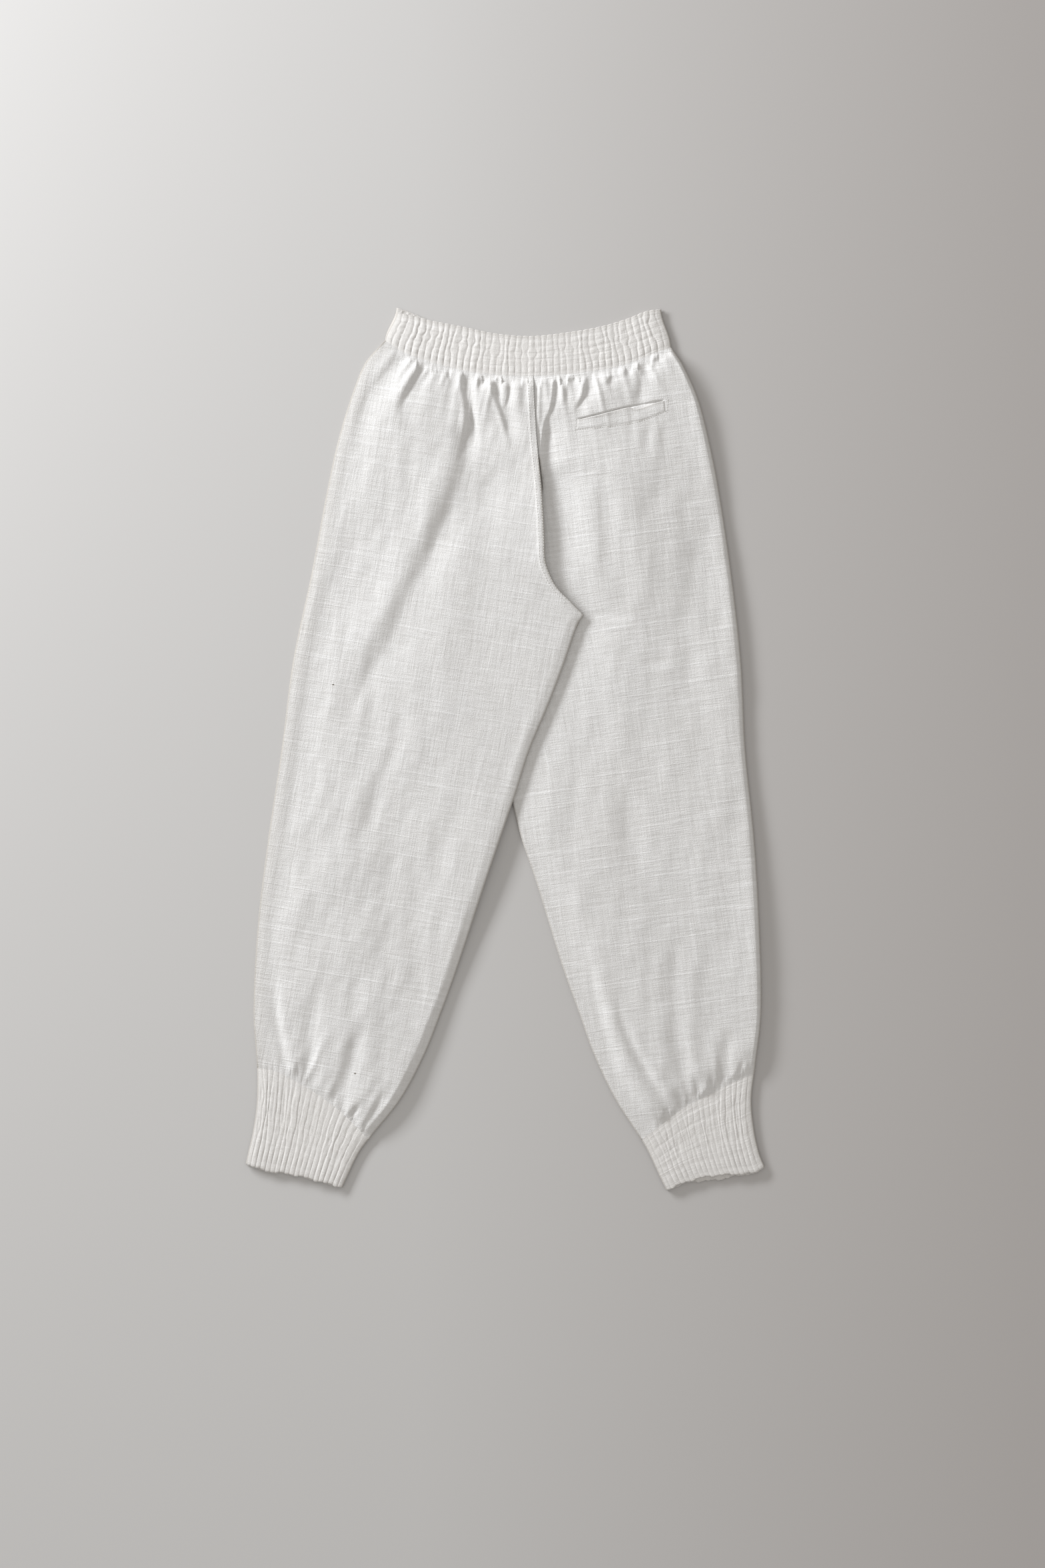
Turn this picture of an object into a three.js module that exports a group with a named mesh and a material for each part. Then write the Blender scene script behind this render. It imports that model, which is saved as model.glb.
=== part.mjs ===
// Elastic-waist trousers of a hand-woven cotton cloth, laid flat on their front with the back uppermost.
// Millimetres. +Z is up, the waist points to +Y, and the origin is on the floor under the middle of the outline.
// Left and right are the viewer's, looking down. The left leg lies across the right one below the crotch.

import * as THREE from 'three';

// Driving sizes
const CLOTH = 1.6;
const RIBBED_CLOTH = 1.2;
const SEAM_GAP = 0.3;
const LAYER_GAP = 0.3;

// Shirred ribs, each a gather held by rows of elastic thread
const WAIST_RIBS = 44;
const CUFF_RIBS = 20;
const RIB_HEIGHT = { waistBack: 2.2, waistFront: 1.8, cuffBack: 1.8, cuffFront: 1.4 };
const RIB_FADE = 10;
const FAN_RIBS = 4;

// Edges of the two legs, a row for each section down the garment
const SIDE_SEAMS = [
  { y: 468, left: -135, right: 186 },
  { y: 459, left: -144, right: 189 },
  { y: 440, left: -160, right: 202 },
  { y: 400, left: -176, right: 220 },
  { y: 350, left: -191, right: 233 },
  { y: 300, left: -202, right: 243 },
  { y: 200, left: -221, right: 258 },
  { y: 100, left: -242, right: 269 },
  { y: 0, left: -255, right: 274 },
  { y: -100, left: -270, right: 284 },
  { y: -200, left: -282, right: 290 },
  { y: -300, left: -287, right: 292 },
  { y: -363, left: -283, right: 285 },
  { y: -400, left: -283, right: 281 },
  { y: -434, left: -287, right: 284 },
  { y: -461, left: -293, right: 290 },
  { y: -476, left: -296, right: 296 },
];

// Rise seams from the waist to the crotch. The right back is tucked under the left back from y 300 down.
const CROTCH_Y = 153;
const TUCK_TOP = 330;
const TUCK_FULL = 304;
const CROSSING_TOP = 215;
const RISE_SEAMS = [
  { y: 428, leftBack: 32, leftFront: 32, rightBack: 32.3, rightFront: 32.3 },
  { y: 356, leftBack: 36, leftFront: 33, rightBack: 36.3, rightFront: 33.3 },
  { y: 300, leftBack: 41.5, leftFront: 33, rightBack: 41.8, rightFront: 33.3 },
  { y: 284, leftBack: 42.6, leftFront: 33, rightBack: 39, rightFront: 33.3 },
  { y: 262, leftBack: 44, leftFront: 33, rightBack: 36, rightFront: 33.3 },
  { y: 238, leftBack: 45, leftFront: 33, rightBack: 34.6, rightFront: 33.3 },
  { y: 215, leftBack: 46, leftFront: 33, rightBack: 34.4, rightFront: 33.3 },
  { y: 197, leftBack: 52, leftFront: 45, rightBack: 16, rightFront: 16 },
  { y: 182, leftBack: 61, leftFront: 56, rightBack: -2, rightFront: -2 },
  { y: 168, leftBack: 75, leftFront: 70, rightBack: -13, rightFront: -13 },
  { y: 153, leftBack: 90, leftFront: 90, rightBack: -19, rightFront: -19 },
];

// Inner leg seams from the crotch to the cuffs. The right one is hidden down to the fork at y -66.
const INNER_SEAMS = [
  { y: 153, left: 90, right: -19 },
  { y: 143, left: 83, right: -20 },
  { y: 100, left: 68, right: -18 },
  { y: 50, left: 49, right: -12 },
  { y: 0, left: 28, right: -3 },
  { y: -50, left: 12, right: 6 },
  { y: -100, left: -5, right: 18 },
  { y: -150, left: -22, right: 35 },
  { y: -250, left: -55, right: 66 },
  { y: -300, left: -73, right: 84 },
  { y: -350, left: -93, right: 102 },
  { y: -400, left: -120, right: 126 },
  { y: -445, left: -156, right: 155 },
  { y: -461, left: -167, right: 164 },
  { y: -487, left: -179, right: 176 },
  { y: -503, left: -186, right: 184 },
];

// Top edge of the waistband and the seam under it, a row for each place across
const WAIST_TOP = [
  { x: -124, y: 504 },
  { x: -105, y: 497 },
  { x: -85, y: 489 },
  { x: -50, y: 482 },
  { x: -12, y: 474 },
  { x: 30, y: 471 },
  { x: 70, y: 475 },
  { x: 110, y: 482 },
  { x: 140, y: 491 },
  { x: 160, y: 499 },
  { x: 178, y: 502 },
];
const WAIST_SEAM = [
  { x: -137, y: 466 },
  { x: -118, y: 454 },
  { x: -98, y: 446 },
  { x: -72, y: 438 },
  { x: -40, y: 431 },
  { x: -5, y: 427 },
  { x: 32, y: 426 },
  { x: 80, y: 429 },
  { x: 118, y: 434.5 },
  { x: 146, y: 442 },
  { x: 168, y: 451 },
  { x: 189, y: 459 },
];
const CENTRE_BACK_X = 32;
const FRONT_PEEK = { height: 5, reach: 45 };

// Seam above each cuff and the hem below it
const CUFF_SEAMS = {
  left: [
    { x: -283, y: -363 },
    { x: -262, y: -367 },
    { x: -240, y: -378 },
    { x: -215, y: -393 },
    { x: -190, y: -411 },
    { x: -170, y: -430 },
    { x: -156, y: -445 },
  ],
  right: [
    { x: 284, y: -370 },
    { x: 262, y: -379 },
    { x: 236, y: -392 },
    { x: 212, y: -404 },
    { x: 192, y: -417 },
    { x: 172, y: -433 },
    { x: 155, y: -445 },
  ],
};
const HEMS = {
  left: [
    { x: -296, y: -473 },
    { x: -272, y: -481 },
    { x: -249, y: -484 },
    { x: -226, y: -489 },
    { x: -204, y: -495 },
    { x: -186, y: -500 },
  ],
  right: [
    { x: 296, y: -476 },
    { x: 284, y: -483 },
    { x: 258, y: -485 },
    { x: 233, y: -487 },
    { x: 208, y: -493 },
    { x: 184, y: -503 },
  ],
};
const FRONT_HEM_PEEK = { centre: 238, reach: 26, height: 5 };

// How far the back stands off the front, a row for each height down the body
const LOFTS = [
  { y: 470, loft: 3.4 },
  { y: 380, loft: 3.4 },
  { y: 300, loft: 3.0 },
  { y: 200, loft: 2.5 },
  { y: 100, loft: 2.2 },
  { y: -100, loft: 2.2 },
  { y: -250, loft: 2.8 },
  { y: -340, loft: 3.5 },
  { y: -450, loft: 3.5 },
];
const SEAM_LOFT = { waist: 1.5, cuff: 1.1 };
const LOFT_RUN = 35;
const EDGE_RUN = 22;

// The left front is lifted over both layers of the right leg, which lie down flat under it
const CROSSING = {
  lift: 2 * (CLOTH + LAYER_GAP) + 0.4,
  flatMargin: 12,
  frontRun: 22,
  frontReach: 40,
  backRun: 30,
  backReach: 62,
  squeeze: 0.7,
  topSlope: 1.2,
};

// Troughs that run down from the gathers, a row for each. A free one also fades in at its start.
const FOLDS = [
  {
    side: 'left', width: 14, depth: 2.3, free: false,
    path: [[-47, 429], [-41, 370], [-52, 302], [-97, 209], [-143, 116], [-179, 73]],
  },
  { side: 'left', width: 5, depth: 1.6, free: false, path: [[-14, 424], [1, 378], [11, 347]] },
  { side: 'left', width: 10, depth: 1.5, free: false, path: [[-120, 451], [-150, 421], [-166, 378], [-173, 327]] },
  { side: 'left', width: 8, depth: 1.5, free: false, path: [[-90, 444], [-106, 404]] },
  { side: 'left', width: 16, depth: 1.3, free: true, path: [[-8, 327], [-17, 208], [-36, 113], [-58, 20]] },
  { side: 'right', width: 6, depth: 1.8, free: false, path: [[98, 431], [91, 399], [78, 376]] },
  { side: 'right', width: 7, depth: 2.4, free: false, path: [[56, 428], [55, 398], [52, 368], [47, 299]] },
  { side: 'right', width: 5, depth: 1.2, free: false, path: [[122, 434], [115, 414]] },
  { side: 'right', width: 10, depth: 1.4, free: false, path: [[158, 448], [154, 404]] },
  { side: 'right', width: 16, depth: 1.1, free: true, path: [[161, 345], [173, 235]] },
  { side: 'left', width: 6, depth: 1.8, free: false, path: [[-251, -366], [-256, -334], [-262, -304], [-264, -250]] },
  { side: 'left', width: 9, depth: 1.7, free: false, path: [[-223, -387], [-220, -309], [-210, -250]] },
  { side: 'left', width: 9, depth: 1.6, free: false, path: [[-190, -409], [-171, -343], [-147, -290]] },
  { side: 'left', width: 5, depth: 1.8, free: false, path: [[-163, -437], [-144, -404], [-132, -380]] },
  {
    side: 'right', width: 8, depth: 1.9, free: false,
    path: [[175, -433], [155, -414], [124, -372], [108, -310], [83, -201]],
  },
  { side: 'right', width: 6, depth: 1.7, free: false, path: [[194, -416], [161, -368], [135, -314], [128, -270]] },
  { side: 'right', width: 10, depth: 1.4, free: false, path: [[207, -406], [195, -314], [195, -236], [205, -178]] },
  { side: 'right', width: 5, depth: 1.5, free: false, path: [[226, -399], [215, -368]] },
  { side: 'right', width: 9, depth: 1.9, free: false, path: [[248, -386], [253, -345], [256, -310]] },
];
const FOLD_SHOULDER = 0.25;
const LEAST_LOFT = 0.1;

// Topstitched seam allowance beside the centre back seam
const FELL = { width: 7.4, step: 0.8, height: 0.6 };

// Welt of the back pocket: its open upper edge and its stitched lower edge
const WELT = {
  upper: { start: [81, 375], end: [183, 398] },
  lower: { start: [80, 364], end: [183, 384.5] },
  thickness: 1.2,
  gap: 0.5,
};

// Rows of sections down a panel, a stretch for each line. Every so many of them shape a plain surface too.
const PANEL_ROWS = [
  { to: 380, rows: 3, plain: 3 },
  { to: 300, rows: 4, plain: 2 },
  { to: 230, rows: 4, plain: 1 },
  { to: CROTCH_Y, rows: 6, plain: 1 },
  { to: 90, rows: 3, plain: 1 },
  { to: -60, rows: 5, plain: 1 },
  { to: -150, rows: 4, plain: 1 },
  { to: -300, rows: 4, plain: 2 },
  { to: -445, rows: 6, plain: 2 },
];
const PANEL_COLUMNS = 20;

const lerp = THREE.MathUtils.lerp;
const ease = (value) => THREE.MathUtils.smoothstep(value, 0, 1);

// A smooth curve through one column of a table, read at a place in its key column
function through(rows, key, column) {
  const sorted = [...rows].sort((a, b) => a[key] - b[key]);
  const at = sorted.map((row) => row[key]);
  const value = sorted.map((row) => row[column]);
  const last = at.length - 1;
  const slope = at.map((_, i) => {
    const low = Math.max(i - 1, 0);
    const high = Math.min(i + 1, last);
    return (value[high] - value[low]) / (at[high] - at[low]);
  });
  return (place) => {
    let i = 0;
    while (i < last - 1 && place > at[i + 1]) i += 1;
    const run = at[i + 1] - at[i];
    const u = THREE.MathUtils.clamp((place - at[i]) / run, 0, 1);
    const start = (1 + 2 * u) * (1 - u) ** 2 * value[i] + u * (1 - u) ** 2 * run * slope[i];
    const end = u * u * (3 - 2 * u) * value[i + 1] - u * u * (1 - u) * run * slope[i + 1];
    return start + end;
  };
}

const sideSeam = { left: through(SIDE_SEAMS, 'y', 'left'), right: through(SIDE_SEAMS, 'y', 'right') };
const innerSeam = { left: through(INNER_SEAMS, 'y', 'left'), right: through(INNER_SEAMS, 'y', 'right') };
const waistTop = through(WAIST_TOP, 'x', 'y');
const waistSeam = through(WAIST_SEAM, 'x', 'y');
const cuffSeam = { left: through(CUFF_SEAMS.left, 'x', 'y'), right: through(CUFF_SEAMS.right, 'x', 'y') };
const hem = { left: through(HEMS.left, 'x', 'y'), right: through(HEMS.right, 'x', 'y') };
const bodyLoft = through(LOFTS, 'y', 'loft');
const ends = (rows) => ({ first: rows[0].x, last: rows[rows.length - 1].x });

// Inner edge of a panel: the rise seam above the crotch and the inner leg seam below it
function innerEdge(side, layer) {
  const rise = through(RISE_SEAMS, 'y', side + layer);
  return (y) => (y >= CROTCH_Y ? rise(y) : innerSeam[side](y));
}

const leftBackEdge = innerEdge('left', 'Back');
const rightFrontEdge = innerEdge('right', 'Front');

// Distance from a point to a fold's line, and how far along the line the nearest place is, from 0 to 1
function nearestOnPath(path, x, y) {
  const lengths = path.slice(1).map((end, i) => Math.hypot(end[0] - path[i][0], end[1] - path[i][1]));
  const total = lengths.reduce((sum, length) => sum + length, 0);
  let best = { distance: Infinity, along: 0 };
  let walked = 0;
  lengths.forEach((length, i) => {
    const [ax, ay] = path[i];
    const [bx, by] = path[i + 1];
    const share = ((x - ax) * (bx - ax) + (y - ay) * (by - ay)) / (length * length);
    const u = THREE.MathUtils.clamp(share, 0, 1);
    const distance = Math.hypot(x - lerp(ax, bx, u), y - lerp(ay, by, u));
    if (distance < best.distance) best = { distance, along: (walked + u * length) / total };
    walked += length;
  });
  return best;
}

// Height that the folds of one side add at a point: a soft trough between two low shoulders
function foldRelief(side, x, y) {
  return FOLDS.filter((fold) => fold.side === side).reduce((height, fold) => {
    const { distance, along } = nearestOnPath(fold.path, x, y);
    const fadeIn = fold.free ? ease(along * 3) : 1;
    const strength = fold.depth * fadeIn * ease((1 - along) * 2);
    const off = distance / fold.width;
    const trough = Math.exp(-off * off);
    const shoulder = FOLD_SHOULDER * Math.exp(-((off - 2) ** 2));
    return height + strength * (shoulder - trough);
  }, 0);
}

// Share of the full lift that the left leg has where it climbs over the right one
function crossingShare(x, y, run, reach) {
  const topEdge = rightFrontEdge(CROSSING_TOP) + CROSSING.topSlope * (y - CROSSING_TOP);
  const rightEdge = y > CROSSING_TOP ? topEdge : rightFrontEdge(y);
  return ease((x - rightEdge + reach) / run);
}

function frontUnderside(side, x, y) {
  if (side === 'right') return 0;
  return CROSSING.lift * crossingShare(x, y, CROSSING.frontRun, CROSSING.frontReach);
}

// How open the inner edge is: 0 where a panel lies down on the layer below, 1 where it runs on over the seam
function innerOpenness(side, x, y) {
  if (side === 'left') {
    const legEdge = ease((leftBackEdge(y) - x) / EDGE_RUN);
    return lerp(legEdge, 1, ease((y - CROTCH_Y) / EDGE_RUN));
  }
  if (y < -80) return ease((x - innerSeam.right(y)) / EDGE_RUN);
  const underLeft = ease((x - leftBackEdge(y) - CROSSING.flatMargin) / EDGE_RUN);
  return lerp(1, underLeft, ease((TUCK_TOP - y) / (TUCK_TOP - TUCK_FULL)));
}

function backUnderside(side, x, y) {
  const outward = side === 'left' ? x - sideSeam.left(y) : sideSeam.right(y) - x;
  const fromWaist = ease((waistSeam(x) - y) / LOFT_RUN);
  const fromCuff = ease((y - cuffSeam[side](x)) / LOFT_RUN);
  const open = lerp(SEAM_LOFT.cuff, lerp(SEAM_LOFT.waist, bodyLoft(y), fromWaist), fromCuff);
  const edges = ease(outward / EDGE_RUN) * innerOpenness(side, x, y);
  const folds = foldRelief(side, x, y) * Math.min(fromWaist * 3 + 0.2, 1) * Math.min(fromCuff * 3 + 0.2, 1);
  const share = side === 'left' ? crossingShare(x, y, CROSSING.backRun, CROSSING.backReach) : 0;
  const loft = Math.max(LEAST_LOFT, open + folds) * edges * (1 - CROSSING.squeeze * share);
  const tucked = side === 'left' && y > CROSSING_TOP - 10 && y < TUCK_TOP && x > leftBackEdge(y) - 24;
  const low = CLOTH + LAYER_GAP + CROSSING.lift * share + loft;
  return tucked ? Math.max(low, 2 * (CLOTH + LAYER_GAP) + LEAST_LOFT) : low;
}

// A closed wall between an upper and a lower surface over the same places. Its upper surface has all rows,
// and its plain lower surface has only some of them, the plain rows, with fans over its outer columns.
function wall(columns, rows, plainRows, place, fanColumns = 2) {
  const positions = [];
  const triangles = [];
  const add = (x, y, z) => positions.push(x, y, z) / 3 - 1;
  const upper = [];
  const lower = [];
  for (let row = 0; row <= rows; row += 1) {
    upper.push([]);
    lower.push([]);
    for (let column = 0; column <= columns; column += 1) {
      const { x, y, low, high } = place(column, row);
      const onSide = column === 0 || column === columns;
      upper[row].push(add(x, y, high));
      lower[row].push(onSide || plainRows.includes(row) ? add(x, y, low) : -1);
    }
  }
  const quad = (a, b, c, d) => triangles.push(a, b, c, a, c, d);
  for (let row = 0; row < rows; row += 1) {
    for (let column = 0; column < columns; column += 1) {
      quad(upper[row][column], upper[row + 1][column], upper[row + 1][column + 1], upper[row][column + 1]);
    }
    quad(upper[row][0], lower[row][0], lower[row + 1][0], upper[row + 1][0]);
    quad(upper[row + 1][columns], lower[row + 1][columns], lower[row][columns], upper[row][columns]);
  }
  for (let column = 0; column < columns; column += 1) {
    quad(upper[0][column + 1], lower[0][column + 1], lower[0][column], upper[0][column]);
    quad(upper[rows][column], lower[rows][column], lower[rows][column + 1], upper[rows][column + 1]);
  }
  const fan = (ring, column, row) => {
    const { x, y, low } = place(column, row);
    const hub = add(x, y, low);
    ring.forEach((corner, i) => triangles.push(hub, corner, ring[(i + 1) % ring.length]));
  };
  plainRows.slice(1).forEach((next, index) => {
    const row = plainRows[index];
    const single = next === row + 1;
    const reach = single ? 0 : fanColumns;
    for (let column = reach; column < columns - reach; column += 1) {
      quad(lower[row][column], lower[row][column + 1], lower[next][column + 1], lower[next][column]);
    }
    if (single) return;
    const middle = Math.round((row + next) / 2);
    const side = (column) => lower.slice(row, next + 1).map((line) => line[column]);
    const left = [...lower[row].slice(1, reach + 1).reverse(), ...side(0), ...lower[next].slice(1, reach + 1)];
    const right = [
      ...lower[next].slice(columns - reach, columns),
      ...side(columns).reverse(),
      ...lower[row].slice(columns - reach, columns).reverse(),
    ];
    fan(left.reverse(), reach / 2, middle);
    fan(right.reverse(), columns - reach / 2, middle);
  });
  const geometry = new THREE.BufferGeometry();
  geometry.setAttribute('position', new THREE.Float32BufferAttribute(positions, 3));
  geometry.setIndex(facingOut(positions, triangles));
  geometry.computeVertexNormals();
  return geometry;
}

// The same triangles, turned over if they enclose a negative volume
function facingOut(positions, triangles) {
  const corner = (i) => new THREE.Vector3().fromArray(positions, triangles[i] * 3);
  let volume = 0;
  for (let i = 0; i < triangles.length; i += 3) {
    volume += corner(i).dot(corner(i + 1).cross(corner(i + 2)));
  }
  const step = volume > 0 ? [0, 0, 0] : [0, 1, -1];
  return triangles.map((_, i) => triangles[i + step[i % 3]]);
}

// A point of a patch between four edges, blended from the edges and the corners
function patchPoint(edges, s, t) {
  const { outer, inner, top, bottom } = edges;
  const [a, b, c, d] = [top(0), top(1), bottom(0), bottom(1)];
  return [0, 1].map((axis) => {
    const across = lerp(outer(t)[axis], inner(t)[axis], s);
    const down = lerp(top(s)[axis], bottom(s)[axis], t);
    return across + down - lerp(lerp(a[axis], b[axis], s), lerp(c[axis], d[axis], s), t);
  });
}

// Heights of the panel rows at the inner edge, from the waist down to the cuff, and which of them are plain rows
function panelRows() {
  const heights = [waistSeam(CENTRE_BACK_X)];
  const plainRows = [0];
  PANEL_ROWS.forEach(({ to, rows, plain }) => {
    const from = heights[heights.length - 1];
    for (let i = 1; i <= rows; i += 1) {
      heights.push(lerp(from, to, i / rows));
      if (i % plain === 0) plainRows.push(heights.length - 1);
    }
  });
  return { heights, plainRows };
}

const PANEL = panelRows();

// The four edges of one leg panel, laid out from its side seam to its inner edge
function panelEdges(side, layer) {
  const edge = innerEdge(side, layer);
  const waist = ends(WAIST_SEAM);
  const cuff = ends(CUFF_SEAMS[side]);
  const waistY = (x) => waistSeam(x) - SEAM_GAP / 2;
  const cuffY = (x) => cuffSeam[side](x) + SEAM_GAP / 2;
  const outerY = (t) => lerp(waistY(side === 'left' ? waist.first : waist.last), cuffY(cuff.first), t);
  const innerY = (t) => lerp(waistY(CENTRE_BACK_X), cuffY(cuff.last), t);
  const [firstY, lastY] = [PANEL.heights[0], PANEL.heights[PANEL.heights.length - 1]];
  const outer = (t) => [sideSeam[side](outerY(t)), outerY(t)];
  const inner = (t) => [edge(innerY(t)), innerY(t)];
  return {
    shares: PANEL.heights.map((y) => (firstY - y) / (firstY - lastY)),
    outer,
    inner,
    top: (s) => {
      const x = lerp(outer(0)[0], inner(0)[0], s);
      return [x, waistY(x)];
    },
    bottom: (s) => {
      const x = lerp(outer(1)[0], inner(1)[0], s);
      return [x, cuffY(x)];
    },
  };
}

// Shares across a back panel, with the last two columns on the step of the topstitched seam
function backShare(side, column, columns, width) {
  if (side === 'right') return column / columns;
  const body = columns - 2;
  const stepStart = 1 - (FELL.width + FELL.step) / width;
  if (column <= body) return (column / body) * stepStart;
  return column === columns ? 1 : 1 - FELL.width / width;
}

function backPanel(side) {
  const columns = PANEL_COLUMNS;
  const rows = PANEL.heights.length - 1;
  const edges = panelEdges(side, 'Back');
  return wall(columns, rows, PANEL.plainRows, (column, row) => {
    const t = edges.shares[row];
    const width = Math.hypot(edges.inner(t)[0] - edges.outer(t)[0], edges.inner(t)[1] - edges.outer(t)[1]);
    const [x, y] = patchPoint(edges, backShare(side, column, columns, width), t);
    const low = backUnderside(side, x, y);
    const onFell = side === 'left' && column > columns - 2 && PANEL.heights[row] > CROTCH_Y;
    return { x, y, low, high: low + CLOTH + (onFell ? FELL.height : 0) };
  });
}

// A front panel has no folds, so its rows are all plain ones. The flat right one has fewer at its hidden edge.
function frontPanel(side) {
  const hidden = (row) => PANEL.heights[row] < TUCK_FULL && PANEL.heights[row] > -50;
  const rows = PANEL.plainRows.filter((row, i) => side === 'left' || !hidden(row) || i % 2 === 0);
  const edges = panelEdges(side, 'Front');
  return wall(PANEL_COLUMNS, rows.length - 1, [...rows.keys()], (column, row) => {
    const [x, y] = patchPoint(edges, column / PANEL_COLUMNS, edges.shares[rows[row]]);
    const low = frontUnderside(side, x, y);
    return { x, y, low, high: low + CLOTH };
  });
}

// A ribbed band between two edges. Valleys and crests alternate across it and wander a little from row to row.
function ribbedBand({ ribs, perRib, rowStrengths, height, wander, edges, underside }) {
  const columns = ribs * perRib;
  const rows = rowStrengths.length - 1;
  const place = (column, row) => {
    const s = column / columns;
    const t = row / rows;
    const [x, y] = patchPoint(edges, s, t);
    const width = Math.abs(edges.top(1)[0] - edges.top(0)[0]);
    const fromSide = Math.min(s, 1 - s) * width;
    const phase = (column % perRib) / perRib;
    const crest = 0.5 - 0.5 * Math.cos(2 * Math.PI * phase);
    const uneven = 1 - 0.18 * Math.sin(1.7 * Math.floor(column / perRib) + 0.9 * row);
    const fade = ease(fromSide / RIB_FADE);
    const shift = wander * Math.sin(2.4 * row + 5 * s) * fade * Math.sin(Math.PI * t);
    const low = underside(fade);
    return { x: x + shift, y, low, high: low + RIBBED_CLOTH + height * crest * uneven * rowStrengths[row] * fade };
  };
  return wall(columns, rows, [0, rows], place, perRib * FAN_RIBS);
}

const WAIST_LAYER = {
  front: () => 0,
  back: (fade) => lerp(CLOTH + LAYER_GAP, RIBBED_CLOTH + 1.18 * RIB_HEIGHT.waistFront + LAYER_GAP, fade),
};
const CUFF_LAYER = {
  front: () => 0,
  back: (fade) => lerp(CLOTH + LAYER_GAP, RIBBED_CLOTH + 1.18 * RIB_HEIGHT.cuffFront + LAYER_GAP, fade),
};

// Waistband edges run from the left side to the right one. The front one shows past the back at the left.
function waistEdges(peek) {
  const left = { top: ends(WAIST_TOP).first, seam: ends(WAIST_SEAM).first };
  const right = { top: ends(WAIST_TOP).last, seam: ends(WAIST_SEAM).last };
  const rise = (x) => peek * ease((left.top + FRONT_PEEK.reach - x) / FRONT_PEEK.reach);
  const seamY = (x) => waistSeam(x) + SEAM_GAP / 2;
  const topX = (s) => lerp(left.top, right.top, s);
  const seamX = (s) => lerp(left.seam, right.seam, s);
  return {
    outer: (t) => [lerp(left.top, left.seam, ease(t)), lerp(waistTop(left.top) + rise(left.top), seamY(left.seam), t)],
    inner: (t) => [lerp(right.top, right.seam, ease(t)), lerp(waistTop(right.top), seamY(right.seam), t)],
    top: (s) => [topX(s), waistTop(topX(s)) + rise(topX(s))],
    bottom: (s) => [seamX(s), seamY(seamX(s))],
  };
}

function waistbandBack() {
  return ribbedBand({
    ribs: WAIST_RIBS,
    perRib: 4,
    rowStrengths: [0.5, 1, 0.85, 1, 0.9, 0.6],
    height: RIB_HEIGHT.waistBack,
    wander: 1.1,
    edges: waistEdges(-FRONT_PEEK.height),
    underside: WAIST_LAYER.back,
  });
}

function waistbandFront() {
  return ribbedBand({
    ribs: WAIST_RIBS,
    perRib: 2,
    rowStrengths: [0.6, 1, 0.6],
    height: RIB_HEIGHT.waistFront,
    wander: 0,
    edges: waistEdges(0),
    underside: WAIST_LAYER.front,
  });
}

// Cuff edges run from the side seam to the inner leg seam
function cuffEdges(side, peek) {
  const seamY = (x) => cuffSeam[side](x) - SEAM_GAP / 2;
  const seamX = ends(CUFF_SEAMS[side]);
  const hemX = ends(HEMS[side]);
  const drop = (x) => peek * Math.exp(-(((x - FRONT_HEM_PEEK.centre) / FRONT_HEM_PEEK.reach) ** 2));
  const hemY = (x) => hem[side](x) - drop(x);
  const edge = (seam, x, end, t) => {
    const y = lerp(seamY(seam), hemY(end), t);
    const miss = lerp(x(seamY(seam)) - seam, x(hemY(end)) - end, t);
    return [x(y) - miss, y];
  };
  return {
    outer: (t) => edge(seamX.first, sideSeam[side], hemX.first, t),
    inner: (t) => edge(seamX.last, innerSeam[side], hemX.last, t),
    top: (s) => [lerp(seamX.first, seamX.last, s), seamY(lerp(seamX.first, seamX.last, s))],
    bottom: (s) => [lerp(hemX.first, hemX.last, s), hemY(lerp(hemX.first, hemX.last, s))],
  };
}

function cuffBack(side) {
  return ribbedBand({
    ribs: CUFF_RIBS,
    perRib: 4,
    rowStrengths: [0.6, 1, 0.85, 1, 0.7],
    height: RIB_HEIGHT.cuffBack,
    wander: 0.9,
    edges: cuffEdges(side, 0),
    underside: CUFF_LAYER.back,
  });
}

function cuffFront(side) {
  return ribbedBand({
    ribs: CUFF_RIBS,
    perRib: 2,
    rowStrengths: [0.6, 1, 0.85, 0.6],
    height: RIB_HEIGHT.cuffFront,
    wander: 0,
    edges: cuffEdges(side, side === 'right' ? FRONT_HEM_PEEK.height : 0),
    underside: CUFF_LAYER.front,
  });
}

// The welt follows the right back panel, made from its points moved up
function pocketWelt() {
  const columns = 14;
  const rows = 3;
  const plainRows = [0, 1, 2, 3];
  const along = (line, s) => [lerp(line.start[0], line.end[0], s), lerp(line.start[1], line.end[1], s)];
  return wall(columns, rows, plainRows, (column, row) => {
    const upper = along(WELT.upper, column / columns);
    const lower = along(WELT.lower, column / columns);
    const [x, y] = [0, 1].map((axis) => lerp(upper[axis], lower[axis], row / rows));
    const low = backUnderside('right', x, y) + CLOTH + WELT.gap;
    return { x, y, low, high: low + WELT.thickness };
  });
}

const CLOTH_COLOUR = 0xe4e1dc;
const BAND_COLOUR = 0xddd9d2;

function piece(name, geometry, color) {
  const material = new THREE.MeshStandardMaterial({ color, roughness: 0.92, metalness: 0 });
  const mesh = new THREE.Mesh(geometry, material);
  mesh.name = name;
  return mesh;
}

const trousers = new THREE.Group();
trousers.add(piece('waistband_back', waistbandBack(), BAND_COLOUR));
trousers.add(piece('waistband_front', waistbandFront(), BAND_COLOUR));
for (const side of ['left', 'right']) {
  trousers.add(piece(`back_${side}`, backPanel(side), CLOTH_COLOUR));
  trousers.add(piece(`front_${side}`, frontPanel(side), CLOTH_COLOUR));
  trousers.add(piece(`cuff_${side}_back`, cuffBack(side), BAND_COLOUR));
  trousers.add(piece(`cuff_${side}_front`, cuffFront(side), BAND_COLOUR));
}
trousers.add(piece('pocket_welt', pocketWelt(), CLOTH_COLOUR));

export default trousers;
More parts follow.
